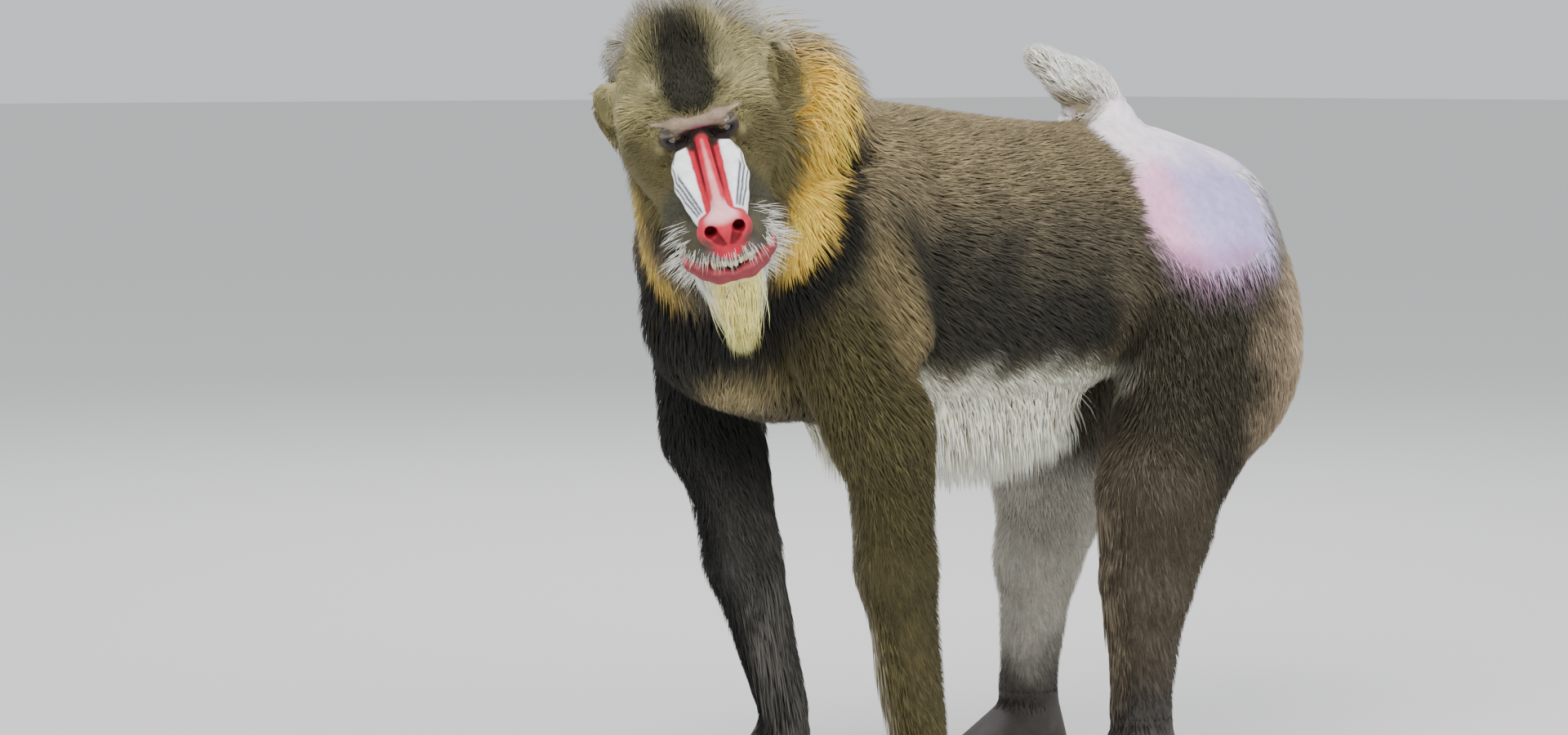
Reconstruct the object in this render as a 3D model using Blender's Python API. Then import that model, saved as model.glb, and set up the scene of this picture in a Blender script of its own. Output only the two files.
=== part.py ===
"""A life-size adult male mandrill, standing on all fours with its head lowered and turned to its left.

Metres, +Z up. The animal faces -Y and its left side is +X. The body is one smooth surface, worked out from
named sizes and parted into nodes by thin cuts. The long coat is flat locks that grow from those nodes.
"""

import math

import bmesh
import bpy
import numpy as np
from mathutils import Matrix, Vector

# Gap between nodes, the floor's height, and the sizes that drive the form
GAP = 0.0003
GROUND = 0.0
# The rig's zero is on the floor between the shoulders. The part's origin is under the middle of its box.
ORIGIN = np.array([0.045, 0.158, 0.0])

# Head: eyes' midpoint, and how the muzzle's line turns to the left, dips and tilts, in degrees
EYES_MIDDLE = np.array([0.138, -0.186, 0.582])
HEAD_TURN, HEAD_DIP, HEAD_TILT = 61.2, 32.3, 16.6
EYE_APART, EYE_RADIUS = 0.0175, 0.0112

# Limbs: joint places in the rig's frame, left then right
SHOULDER = {"left": (0.072, -0.030, 0.490), "right": (-0.064, -0.020, 0.480)}
ELBOW = {"left": (0.098, 0.024, 0.340), "right": (-0.098, 0.012, 0.325)}
WRIST = {"left": (0.082, 0.090, 0.092), "right": (-0.082, 0.082, 0.090)}
HIP = {"left": (0.070, 0.428, 0.455), "right": (-0.070, 0.432, 0.455)}
KNEE = {"left": (0.093, 0.340, 0.270), "right": (-0.093, 0.392, 0.268)}
ANKLE = {"left": (0.083, 0.338, 0.082), "right": (-0.083, 0.364, 0.080)}
SIDE = {"left": 1.0, "right": -1.0}

# Trunk: place along Y, top, bottom and half width, at the outside of the short coat
TRUNK = (
    (-0.115, 0.480, 0.420, 0.022),
    (-0.090, 0.540, 0.375, 0.046),
    (-0.040, 0.588, 0.352, 0.072),
    (0.040, 0.604, 0.338, 0.096),
    (0.120, 0.600, 0.325, 0.112),
    (0.220, 0.588, 0.322, 0.114),
    (0.300, 0.581, 0.338, 0.106),
    (0.370, 0.584, 0.366, 0.098),
    (0.440, 0.572, 0.380, 0.094),
    (0.490, 0.540, 0.385, 0.086),
    (0.525, 0.500, 0.400, 0.066),
    (0.545, 0.470, 0.430, 0.030),
)
TRUNK_SMOOTHING = 0.022
TAIL_ROOT, TAIL_MIDDLE, TAIL_TIP = (0.0, 0.368, 0.578), (-0.008, 0.354, 0.607), (-0.030, 0.320, 0.634)
TAIL_RADII = (0.030, 0.024, 0.015)

# Ears, brow, swellings beside the nose, lips, nostrils and teeth, in the head's axes
EAR, EAR_TURN, EAR_RADII = (-0.079, 0.062, -0.016), 32.0, (0.0062, 0.0165, 0.0220)
BROW = ((0.0070, 0.0, 0.0107), (0.0078, 0.016, 0.0114), (-0.0035, 0.033, 0.0086))
SWELLING = (
    (0.018, 0.0138, -0.0085),
    (0.034, 0.0167, -0.0108),
    (0.054, 0.0172, -0.0125),
    (0.076, 0.0148, -0.0135),
    (0.097, 0.0120, -0.0140),
)
SWELLING_RADII = (0.0082, 0.0100, 0.0104, 0.0088, 0.0064)
JAW = ((-0.050, 0.034, -0.062), (0.020, 0.024, -0.070), (0.088, 0.006, -0.069))
UPPER_LIP = ((0.1065, 0.0, -0.0345), (0.0960, 0.0180, -0.0350), (0.0660, 0.0290, -0.0410))
MOUTH = (
    (0.1130, 0.0, -0.0485),
    (0.1085, 0.0130, -0.0487),
    (0.0990, 0.0235, -0.0493),
    (0.0870, 0.0320, -0.0508),
    (0.0740, 0.0385, -0.0535),
)
MOUTH_RADII = (0.0052, 0.0052, 0.0048, 0.0034, 0.0018)
LOWER_LIP = (
    (0.1090, 0.0, -0.0598),
    (0.1050, 0.0118, -0.0598),
    (0.0965, 0.0215, -0.0592),
    (0.0860, 0.0290, -0.0583),
    (0.0745, 0.0348, -0.0570),
)
LOWER_LIP_RADII = (0.0040, 0.0040, 0.0038, 0.0032, 0.0022)
NOSTRILS = (
    ((0.1270, 0.0100, -0.0078), (0.1090, 0.0105, -0.0140), 0.0054, 0.0036),
    ((0.1240, 0.0100, -0.0110), (0.1205, 0.0034, -0.0225), 0.0040, 0.0018),
)
TEETH_ROW = ((0.1105, 0.0, -0.0445), (0.0970, 0.0190, -0.0450), (0.0740, 0.0330, -0.0480))
# Teeth: share of the row, size and length
TEETH = ((0.09, 0.0026, 0.0044), (0.27, 0.0023, 0.0042), (0.50, 0.0030, 0.0056), (0.74, 0.0022, 0.0040))

# Long coat: centre line, with the radius of the flesh and of the hair's tips
CREST = (
    ((-0.026, 0.024, 0.026), 0.007, 0.011),
    ((-0.060, 0.014, 0.040), 0.012, 0.021),
    ((-0.100, 0.004, 0.036), 0.014, 0.030),
)
CHEEK = (
    ((-0.026, 0.024, 0.026), 0.007, 0.011),
    ((-0.034, 0.042, 0.000), 0.010, 0.016),
    ((-0.034, 0.042, -0.040), 0.010, 0.018),
)
RUFF = (
    ((-0.100, 0.038, 0.015), 0.010, 0.024),
    ((-0.100, 0.044, -0.030), 0.010, 0.026),
    ((-0.068, 0.038, -0.080), 0.010, 0.022),
)
BEARD = (
    ((0.052, 0.0, -0.080), 0.012, 0.020),
    ((0.062, 0.0, -0.112), 0.001, 0.014),
    ((0.066, 0.0, -0.135), 0.001, 0.005),
)
MANE = (
    ((0.078, -0.082, 0.612), 0.048, 0.076),
    ((0.043, -0.028, 0.588), 0.045, 0.070),
    ((0.014, 0.045, 0.535), 0.050, 0.068),
)
CHEST = (
    ((0.050, -0.100, 0.510), 0.045, 0.062),
    ((0.010, -0.060, 0.425), 0.040, 0.056),
    ((0.0, 0.0, 0.380), 0.018, 0.034),
)
# Share of the way from the flesh to the tips that the coat's core reaches
CORE = 0.5

# Locks: rings along each, their share of its width, thickness, how deep they root and how clear they lie
LOCK_RINGS = 5
LOCK_WIDTHS = (0.62, 1.0, 0.94, 0.62)
LOCK_THICKNESS, LOCK_SINK, LOCK_CLEARANCE = 0.0040, 0.0060, 0.0040

# Rows of locks in the head's axes, on both sides: guide line, how many, flow, length, width, lift and sag
HEAD_ROWS = (
    (((-0.030, 0.006, 0.050), (-0.028, 0.040, 0.018)), 3, (-0.93, 0.14, 0.26), 0.040, 0.015, 0.004, 0.0),
    (((-0.056, 0.008, 0.062), (-0.056, 0.046, 0.026)), 3, (-0.96, 0.14, 0.08), 0.048, 0.017, 0.006, 0.1),
    (((-0.088, 0.010, 0.062), (-0.088, 0.040, 0.040)), 2, (-0.95, 0.10, -0.10), 0.052, 0.018, 0.010, 0.2),
    (((-0.118, 0.024, 0.036), (-0.112, 0.046, 0.004)), 2, (-0.90, 0.15, -0.30), 0.046, 0.018, 0.010, 0.2),
    (((-0.006, 0.048, -0.010), (-0.002, 0.046, -0.070)), 4, (-0.80, 0.42, -0.10), 0.036, 0.014, 0.006, 0.1),
    (((-0.040, 0.056, 0.020), (-0.030, 0.060, -0.080)), 4, (-0.72, 0.50, -0.22), 0.044, 0.016, 0.008, 0.2),
    (((0.088, 0.009, -0.086), (0.022, 0.018, -0.088)), 4, None, 0.056, 0.012, 0.004, 0.0),
    (((0.074, 0.026, -0.080), (0.010, 0.034, -0.088)), 3, None, 0.036, 0.013, 0.004, 0.0),
)
BEARD_MIDDLE = (((0.080, 0.0, -0.094), (0.040, 0.0, -0.100)), 3, None, 0.066, 0.012, 0.004, 0.0)

# Rows of the mane: share of the way from the nape to the withers, how many, and their length
MANE_ROWS = ((0.20, 9, 0.060), (0.42, 9, 0.066), (0.66, 9, 0.070))
MANE_SPREAD = 118.0

# Rows on the trunk, in the rig's frame: node, guide line, how many, flow, length, width, lift and sag
TRUNK_ROWS = (
    (
        "torso", ((-0.052, -0.085, 0.430), (0.052, -0.085, 0.430)),
        5, (0.0, -0.10, -1.0), 0.062, 0.016, 0.008, 0.6,
    ),
    (
        "torso", ((-0.034, -0.050, 0.360), (0.034, -0.050, 0.360)),
        4, (0.0, 0.10, -1.0), 0.052, 0.015, 0.008, 0.6,
    ),
    (
        "torso", ((-0.026, 0.010, 0.345), (0.026, 0.010, 0.345)),
        3, (0.0, 0.25, -1.0), 0.046, 0.015, 0.008, 0.6,
    ),
    (
        "torso", ((0.056, 0.118, 0.350), (0.064, 0.272, 0.345)),
        7, (0.10, 0.22, -1.0), 0.058, 0.017, 0.010, 0.5,
    ),
    (
        "torso", ((-0.056, 0.118, 0.350), (-0.064, 0.272, 0.345)),
        7, (-0.10, 0.22, -1.0), 0.058, 0.017, 0.010, 0.5,
    ),
    ("torso", ((0.0, 0.060, 0.330), (0.0, 0.270, 0.330)), 8, (0.0, 0.25, -1.0), 0.062, 0.017, 0.010, 0.5),
    (
        "rump", ((0.080, 0.515, 0.480), (-0.080, 0.515, 0.480)),
        5, (0.0, 0.30, -1.0), 0.044, 0.016, 0.005, 0.4,
    ),
    (
        "thigh_left", ((0.055, 0.530, 0.420), (0.110, 0.470, 0.330)),
        5, (0.0, 0.30, -1.0), 0.052, 0.017, 0.006, 0.4,
    ),
    (
        "thigh_right", ((-0.055, 0.530, 0.420), (-0.110, 0.480, 0.330)),
        5, (0.0, 0.30, -1.0), 0.052, 0.017, 0.006, 0.4,
    ),
)
TAIL_ROWS = ((0.50, 5, 0.036), (0.82, 5, 0.036))

# Triangles of the finer nodes, and the finest net
HAND_TRIANGLES, FOOT_TRIANGLES, HEAD_TRIANGLES, EAR_TRIANGLES = 460, 520, 2700, 260
HEAD_STEP = 0.0022

# Boxes, in the rig's frame, beyond which a limb or the tail is too far off to count
ARM_BOX = (-0.24, -0.19, -0.05), (0.24, 0.23, 0.62)
LEG_BOX = (-0.24, 0.19, -0.05), (0.24, 0.64, 0.66)
TAIL_BOX = (-0.12, 0.22, 0.50), (0.10, 0.49, 0.74)
LOW_BOX = (-0.24, -0.19, -0.05), (0.24, 0.64, 0.13)
HEAD_REACH = 0.20

# Colours of the nodes
COLOURS = {
    "head": (0.230, 0.180, 0.075),
    "neck": (0.300, 0.270, 0.190),
    "torso": (0.140, 0.110, 0.055),
    "rump": (0.420, 0.330, 0.460),
    "tail": (0.560, 0.520, 0.460),
    "upper_arm": (0.110, 0.090, 0.045),
    "forearm": (0.095, 0.080, 0.045),
    "hand": (0.045, 0.040, 0.038),
    "thigh": (0.150, 0.120, 0.095),
    "shank": (0.110, 0.100, 0.090),
    "foot": (0.050, 0.045, 0.042),
    "ear": (0.240, 0.170, 0.140),
    "eye": (0.220, 0.110, 0.035),
    "teeth": (0.640, 0.560, 0.360),
}


def turned_head():
    """The head's own axes as rows: forward along the muzzle, to its left, and up."""
    turn = Matrix.Rotation(math.radians(HEAD_TURN), 3, "Z")
    dip = Matrix.Rotation(math.radians(HEAD_DIP), 3, "X")
    forward = turn @ dip @ Vector((0.0, -1.0, 0.0))
    left = Matrix.Rotation(math.radians(HEAD_TILT), 3, forward) @ turn @ Vector((1.0, 0.0, 0.0))
    return np.array([forward, left, forward.cross(left)])


HEAD = turned_head()


def from_head(forward, left, up):
    """A point given in the head's axes from the eyes' midpoint, in the rig's frame."""
    return EYES_MIDDLE + np.array([forward, left, up]) @ HEAD


# Distances: points are an (n, 3) array, and each returns n distances, negative inside
def rod(p, a, b, ra, rb):
    a, b = np.asarray(a, float), np.asarray(b, float)
    ab = b - a
    t = np.clip((p - a) @ ab / (ab @ ab), 0.0, 1.0)
    return np.linalg.norm(p - a - t[:, None] * ab, axis=1) - (ra + (rb - ra) * t)


def ball(p, centre, radii, tip=0.0):
    """An ellipsoid with these radii along X, Y and Z, tipped by so many degrees about X."""
    q = p - np.asarray(centre, float)
    if tip:
        c, s = math.cos(math.radians(tip)), math.sin(math.radians(tip))
        q = np.stack([q[:, 0], c * q[:, 1] + s * q[:, 2], -s * q[:, 1] + c * q[:, 2]], axis=1)
    q = q / np.asarray(radii, float)
    k = np.linalg.norm(q, axis=1)
    return k * (k - 1.0) / np.maximum(np.linalg.norm(q / radii, axis=1), 1e-9)


def merge(a, b, soft):
    h = np.clip(0.5 + 0.5 * (b - a) / soft, 0.0, 1.0)
    return b + (a - b) * h - soft * h * (1.0 - h)


def carve(a, b, soft):
    return -merge(-a, b, soft)


def chain(p, points, radii, soft=0.01):
    """Tapered rods through these points."""
    d = rod(p, points[0], points[1], radii[0], radii[1])
    for i in range(1, len(points) - 1):
        d = merge(d, rod(p, points[i], points[i + 1], radii[i], radii[i + 1]), soft)
    return d


def trunk_form():
    """The trunk's sizes against Y, smoothed, so that the distance reads them by interpolation."""
    table = np.array(TRUNK)
    places = np.arange(table[0, 0] - 0.06, table[-1, 0] + 0.06, 0.002)
    reach = np.arange(-0.06, 0.0601, 0.002)
    weights = np.exp(-((reach / TRUNK_SMOOTHING) ** 2))
    weights /= weights.sum()
    ends = len(reach) // 2
    columns = []
    for column in range(1, 4):
        values = np.interp(places, table[:, 0], table[:, column])
        padded = np.pad(values, ends, mode="edge")
        columns.append(np.convolve(padded, weights, mode="valid"))
    return places, columns[0], columns[1], columns[2]


TRUNK_FORM = trunk_form()


def trunk(p):
    places, top, bottom, half = TRUNK_FORM
    y = p[:, 1]
    high, low, wide = (np.interp(y, places, values) for values in (top, bottom, half))
    tall = (high - low) / 2
    x, z = p[:, 0] / wide, (p[:, 2] - (high + low) / 2) / tall
    k = np.sqrt(x * x + z * z)
    g = np.sqrt((x / wide) ** 2 + (z / tall) ** 2)
    d = k * (k - 1.0) / np.maximum(g, 1e-9)
    ends = np.maximum(TRUNK[0][0] - y, y - TRUNK[-1][0])
    return -merge(-d, -ends, 0.03)


def arm(p, side):
    shoulder, elbow, wrist = (np.array(joint[side]) for joint in (SHOULDER, ELBOW, WRIST))
    s = SIDE[side]
    middle = elbow + (wrist - elbow) * 0.45
    blade = shoulder + np.array([-0.012 * s, 0.085, 0.040])
    d = rod(p, shoulder, elbow, 0.050, 0.041)
    d = merge(d, rod(p, blade, shoulder, 0.045, 0.052), 0.03)
    triceps = elbow + np.array([-0.004 * s, 0.030, 0.075])
    d = merge(d, rod(p, shoulder + np.array([0.0, 0.06, 0.01]), triceps, 0.045, 0.030), 0.03)
    d = merge(d, rod(p, elbow + np.array([0.0, 0.012, 0.008]), middle, 0.0395, 0.0330), 0.02)
    return merge(d, rod(p, middle, wrist, 0.0330, 0.0215), 0.015)


def leg(p, side):
    hip, knee, ankle = (np.array(joint[side]) for joint in (HIP, KNEE, ANKLE))
    s = SIDE[side]
    middle = knee + (ankle - knee) * 0.40
    d = ball(p, hip + np.array([0.006 * s, 0.004, -0.050]), (0.056, 0.094, 0.120), 12.0)
    d = merge(d, rod(p, hip + np.array([0.0, -0.02, -0.05]), knee, 0.058, 0.046), 0.03)
    calf = knee + np.array([-0.002 * s, 0.016, -0.035])
    d = merge(d, rod(p, hip + np.array([0.006 * s, 0.020, -0.085]), calf, 0.056, 0.034), 0.02)
    d = merge(d, rod(p, knee, middle, 0.046, 0.037), 0.02)
    d = merge(d, rod(p, calf, middle, 0.040, 0.034), 0.02)
    return merge(d, rod(p, middle, ankle, 0.037, 0.0255), 0.015)


def hand(p, side):
    """A hand on its fingers: palm raised, four fingers and a thumb flat on the floor."""
    s, wrist = SIDE[side], np.array(WRIST[side])
    d = np.full(len(p), 1.0)
    for i in range(4):
        across = (i - 1.5) * s
        knuckle = np.array([wrist[0] + across * 0.0145, wrist[1] - 0.046 + abs(i - 1.4) * 0.004, 0.027])
        root = wrist + np.array([across * 0.0070, -0.002, -0.014])
        joint = knuckle + np.array([across * 0.003, -0.030, -0.0150])
        tip = joint + np.array([across * 0.002, -0.026 + abs(i - 1.4) * 0.004, -0.0050])
        d = merge(d, rod(p, root, knuckle, 0.0130, 0.0100), 0.006)
        d = merge(d, rod(p, knuckle, joint, 0.0100, 0.0078), 0.004)
        d = merge(d, rod(p, joint, tip, 0.0078, 0.0062), 0.003)
    thumb = wrist + np.array([-0.030 * s, -0.038, -0.066])
    d = merge(d, rod(p, wrist + np.array([-0.010 * s, -0.006, -0.024]), thumb, 0.0105, 0.0075), 0.006)
    return merge(d, rod(p, thumb, thumb + np.array([-0.004 * s, -0.018, -0.016]), 0.0075, 0.0060), 0.003)


def foot(p, side):
    """A flat foot: heel, sole, four toes and a great toe that stands apart."""
    s, ankle = SIDE[side], np.array(ANKLE[side])
    heel = np.array([ankle[0], ankle[1] + 0.026, 0.019])
    d = rod(p, ankle, heel, 0.0240, 0.0190)
    for i in range(4):
        across = (i - 1.2) * s
        knuckle = np.array([ankle[0] + across * 0.0150, ankle[1] - 0.080 + abs(i - 1.2) * 0.006, 0.0145])
        joint = knuckle + np.array([across * 0.003, -0.026, 0.0010])
        tip = joint + np.array([across * 0.002, -0.022 + abs(i - 1.2) * 0.004, -0.0095])
        middle = ankle + np.array([across * 0.006, -0.004, -0.030])
        d = merge(d, rod(p, middle, knuckle, 0.0200, 0.0120), 0.008)
        d = merge(d, rod(p, knuckle, joint, 0.0115, 0.0085), 0.004)
        d = merge(d, rod(p, joint, tip, 0.0085, 0.0064), 0.003)
    great = np.array([ankle[0] - 0.042 * s, ankle[1] - 0.048, 0.0100])
    inner = np.array([ankle[0] - 0.008 * s, ankle[1] - 0.006, 0.020])
    d = merge(d, rod(p, inner, great, 0.0165, 0.0100), 0.006)
    d = merge(d, rod(p, great, great + np.array([-0.004 * s, -0.024, -0.0030]), 0.0095, 0.0068), 0.003)
    return d


def near(p, field, low, high):
    """A distance that is worked out only inside a box, and is far off elsewhere."""
    d = np.full(len(p), 1.0)
    inside = ((p > np.asarray(low)) & (p < np.asarray(high))).all(axis=1)
    if inside.any():
        d[inside] = field(p[inside])
    return d


def whole_arm(p, side):
    return merge(arm(p, side), near(p, lambda p: hand(p, side), *LOW_BOX), 0.010)


def whole_leg(p, side):
    return merge(leg(p, side), near(p, lambda p: foot(p, side), *LOW_BOX), 0.010)


def tail(p):
    return chain(p, (TAIL_ROOT, TAIL_MIDDLE, TAIL_TIP), TAIL_RADII, 0.015)


def head_points(p):
    """Points in the head's axes, folded so that both sides are the left one."""
    q = (p - EYES_MIDDLE) @ HEAD.T
    return q, np.stack([q[:, 0], np.abs(q[:, 1]), q[:, 2]], axis=1)


def skull(p):
    """Braincase, cheeks, brow, lids, long ridged muzzle, nose, lips and jaw, bare of long hair."""
    q, m = head_points(p)
    d = ball(q, (-0.066, 0.0, 0.004), (0.062, 0.050, 0.046))
    d = merge(d, ball(m, (-0.050, 0.034, -0.034), (0.044, 0.026, 0.044)), 0.02)
    d = merge(d, rod(q, (-0.020, 0.0, -0.030), (0.084, 0.0, -0.030), 0.0290, 0.0225), 0.012)
    d = merge(d, rod(m, (-0.030, 0.014, -0.055), (0.072, 0.012, -0.050), 0.0260, 0.0180), 0.012)
    d = merge(d, rod(m, (-0.004, 0.030, -0.014), (-0.034, 0.042, -0.020), 0.0085, 0.0120), 0.012)
    d = carve(d, ball(m, (0.016, EYE_APART + 0.001, 0.0), (0.015, 0.0115, 0.0085)), 0.006)
    d = merge(d, chain(m, BROW, (0.0062, 0.0058, 0.0050)), 0.006)
    d = merge(d, ball(m, (-0.0006, EYE_APART, 0.0), (0.0128, 0.0132, 0.0124)), 0.003)
    d = carve(d, ball(m, (0.012, EYE_APART, -0.0004), (0.0110, 0.0080, 0.0044)), 0.0008)
    d = merge(d, chain(m, SWELLING, SWELLING_RADII, 0.002), 0.004)
    d = merge(d, rod(q, (0.004, 0.0, -0.004), (0.106, 0.0, -0.0075), 0.0048, 0.0066), 0.003)
    for low, out in ((-0.0165, 0.0275), (-0.0085, 0.0215)):
        d = carve(d, rod(m, (0.034, out, low + 0.0020), (0.086, out - 0.0070, low), 0.0016, 0.0016), 0.003)
    d = merge(d, ball(q, (0.110, 0.0, -0.0140), (0.0120, 0.0165, 0.0125)), 0.006)
    d = merge(d, ball(m, (0.1115, 0.0112, -0.0172), (0.0108, 0.0095, 0.0112)), 0.004)
    d = merge(d, chain(m, UPPER_LIP, (0.0120, 0.0120, 0.0120)), 0.010)
    d = merge(d, chain(m, JAW, (0.0180, 0.0170, 0.0150)), 0.014)
    d = carve(d, chain(m, MOUTH, MOUTH_RADII), 0.002)
    d = merge(d, chain(m, LOWER_LIP, LOWER_LIP_RADII), 0.002)
    for nostril in NOSTRILS:
        d = carve(d, rod(m, *nostril), 0.0016)
    return d


def ear(m):
    """A cupped ear, its bowl facing forward and outward."""
    c, s = math.cos(math.radians(EAR_TURN)), math.sin(math.radians(EAR_TURN))
    w = (m - np.array(EAR)) @ np.array([[c, s, 0.0], [-s, c, 0.0], [0.0, 0.0, 1.0]]).T
    d = ball(w, (0.0, 0.0, 0.0), EAR_RADII) - 0.0022
    d = carve(d, ball(w, (0.0100, 0.0020, 0.0), (0.0095, 0.0120, 0.0170)), 0.002)
    return merge(d, ball(w, (0.0040, -0.0120, -0.0060), (0.0045, 0.0050, 0.0080)), 0.003)


def coat(p, line, soft=0.02):
    points = [np.array(point) for point, _, _ in line]
    radii = [flesh + (tips - flesh) * CORE for _, flesh, tips in line]
    return chain(p, points, radii, soft)


def hair_cores(p):
    """The cores of the long coat, which the locks grow from."""
    q, m = head_points(p)
    d = merge(coat(m, CREST), coat(m, CHEEK), 0.02)
    d = merge(d, coat(m, RUFF), 0.02)
    d = merge(d, coat(q, BEARD, 0.01), 0.010)
    d = merge(d, coat(p, MANE, 0.03), 0.03)
    d = merge(d, coat(p, CHEST, 0.03), 0.04)
    hollow = (EAR, np.array(EAR) + np.array([0.040, 0.032, 0.0]))
    return carve(d, rod(m, hollow[0], hollow[1], 0.021, 0.030), 0.008)


def body(p):
    """The whole animal at the outside of its short coat."""
    d = trunk(p)
    d = merge(d, ball(p, (0.0, 0.470, 0.480), (0.086, 0.070, 0.078), -35.0), 0.03)
    for side in SIDE:
        d = merge(d, near(p, lambda p: whole_arm(p, side), *ARM_BOX), 0.022)
        d = merge(d, near(p, lambda p: whole_leg(p, side), *LEG_BOX), 0.022)
    d = merge(d, near(p, tail, *TAIL_BOX), 0.012)
    neck = rod(p, from_head(-0.085, 0.010, -0.010), (0.0, -0.030, 0.505), 0.052, 0.070)
    d = merge(d, neck, 0.03)
    d = merge(d, hair_cores(p), 0.025)
    low, high = EYES_MIDDLE - HEAD_REACH, EYES_MIDDLE + HEAD_REACH
    d = merge(d, near(p, skull, low, high), 0.010)
    return merge(d, near(p, lambda p: ear(head_points(p)[1]), low, high), 0.003)


# Surface of a distance: a net of quads with one vertex in each cell that the surface crosses
def sample(field, axes, coarse=4):
    """The field on a grid, worked out only near its surface."""
    step = axes[0][1] - axes[0][0]
    values = None
    while coarse:
        level = [np.append(axis[::coarse], axis[-1] + step) if coarse > 1 else axis for axis in axes]
        shape = [len(axis) for axis in level]
        if values is None:
            grid = np.stack(np.meshgrid(*level, indexing="ij"), axis=-1).reshape(-1, 3)
            values = field(grid).reshape(shape)
        else:
            values = values.repeat(2, 0).repeat(2, 1).repeat(2, 2)[: shape[0], : shape[1], : shape[2]]
            index = np.argwhere(np.abs(values) < step * coarse * 4.2)
            points = np.stack([level[k][index[:, k]] for k in range(3)], axis=1)
            values[tuple(index.T)] = field(points)
        coarse //= 2
    return values


def untangled(values, step):
    """Fills the samples where two parts of the surface would meet along an edge or at a corner."""
    for _ in range(12):
        inside = values < 0
        bad = []
        for k in range(3):
            u, v = np.eye(3, dtype=int)[(k + 1) % 3], np.eye(3, dtype=int)[(k + 2) % 3]
            corners = [np.zeros(3, int), u, v, u + v]
            size = np.array(values.shape) - u - v
            a, b, c, d = (inside[tuple(slice(o[m], o[m] + size[m]) for m in range(3))] for o in corners)
            found = np.argwhere((a == d) & (b == c) & (a != b))
            bad += [found + corner for corner in corners]
        size = np.array(values.shape) - 1
        cube = [np.array((i, j, k)) for i in (0, 1) for j in (0, 1) for k in (0, 1)]
        views = [inside[tuple(slice(o[m], o[m] + size[m]) for m in range(3))] for o in cube]
        count = sum(view.astype(np.int8) for view in views)
        for i in range(4):
            pair = (views[i] == views[7 - i]) & (count == np.where(views[i], 2, 6))
            found = np.argwhere(pair)
            bad += [found + corner for corner in cube]
        index = np.concatenate(bad)
        if not len(index):
            break
        at = tuple(index.T)
        values[at] = np.minimum(values[at], -step * 0.05)
    return values


def net(field, low, high, step):
    """Points and quads of the surface where the field is zero, between two corners."""
    axes = [np.arange(low[k], high[k] + step, step) for k in range(3)]
    values = sample(field, axes)
    for k in range(3):
        edge = [slice(None)] * 3
        for end in (0, -1):
            edge[k] = end
            values[tuple(edge)] = np.maximum(values[tuple(edge)], step * 0.3)
    values = untangled(values, step)
    inside = values < 0
    n = [size - 1 for size in inside.shape]
    corners = [(i, j, k) for i in (0, 1) for j in (0, 1) for k in (0, 1)]
    count = sum(inside[i : i + n[0], j : j + n[1], k : k + n[2]].astype(np.int8) for i, j, k in corners)
    cells = np.argwhere((count > 0) & (count < 8))
    number = np.full(n, -1)
    number[tuple(cells.T)] = np.arange(len(cells))
    total, crossings = np.zeros((len(cells), 3)), np.zeros(len(cells))
    for a in corners:
        for k in range(3):
            if a[k]:
                continue
            b = tuple(a[m] + (m == k) for m in range(3))
            fa, fb = values[tuple((cells + a).T)], values[tuple((cells + b).T)]
            crossed = (fa < 0) != (fb < 0)
            t = np.where(crossed, fa / np.where(crossed, fa - fb, 1.0), 0.0)
            place = np.array(a, float) + np.outer(t, np.eye(3)[k])
            total[crossed] += place[crossed]
            crossings += crossed
    points = (cells + total / crossings[:, None]) * step + np.array([axis[0] for axis in axes])
    quads = []
    for k in range(3):
        u, v = (k + 1) % 3, (k + 2) % 3
        first, second = np.take(inside, range(n[k]), k), np.take(inside, range(1, n[k] + 1), k)
        edges = np.argwhere(first != second)
        edges = edges[(edges[:, u] > 0) & (edges[:, v] > 0) & (edges[:, u] < n[u]) & (edges[:, v] < n[v])]
        around = []
        for du, dv in ((-1, -1), (0, -1), (0, 0), (-1, 0)):
            cell = edges.copy()
            cell[:, u] += du
            cell[:, v] += dv
            around.append(number[tuple(cell.T)])
        faces = np.stack(around, axis=1)
        inward = second[tuple(edges.T)]
        faces[inward] = faces[inward][:, ::-1]
        quads.append(faces)
    return points, np.concatenate(quads)


# Meshes
def new_object(name, mesh):
    obj = bpy.data.objects.new(name, mesh)
    bpy.context.scene.collection.objects.link(obj)
    return obj


def surface(name, field, low, high, step, triangles):
    """The field's surface between two corners, thinned to about this many triangles."""
    points, quads = net(field, low, high, step)
    mesh = bpy.data.meshes.new(name)
    mesh.from_pydata(points.tolist(), [], quads.tolist())
    obj = new_object(name, mesh)
    split(obj)
    thin = obj.modifiers.new("thin", "DECIMATE")
    thin.ratio = min(1.0, triangles / len(obj.data.polygons))
    baked(obj)
    return obj


def split(obj):
    """Quads made triangles, and only the largest closed surface kept."""
    bm = bmesh.new()
    bm.from_mesh(obj.data)
    bmesh.ops.triangulate(bm, faces=bm.faces[:])
    bm.verts.ensure_lookup_table()
    seen, groups = set(), []
    for start in bm.verts:
        if start in seen:
            continue
        seen.add(start)
        group, waiting = [start], [start]
        while waiting:
            for edge in waiting.pop().link_edges:
                for vert in edge.verts:
                    if vert not in seen:
                        seen.add(vert)
                        group.append(vert)
                        waiting.append(vert)
        groups.append(group)
    groups.sort(key=len)
    loose = [vert for group in groups[:-1] for vert in group]
    bmesh.ops.delete(bm, geom=loose, context="VERTS")
    bm.to_mesh(obj.data)
    bm.free()


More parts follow.
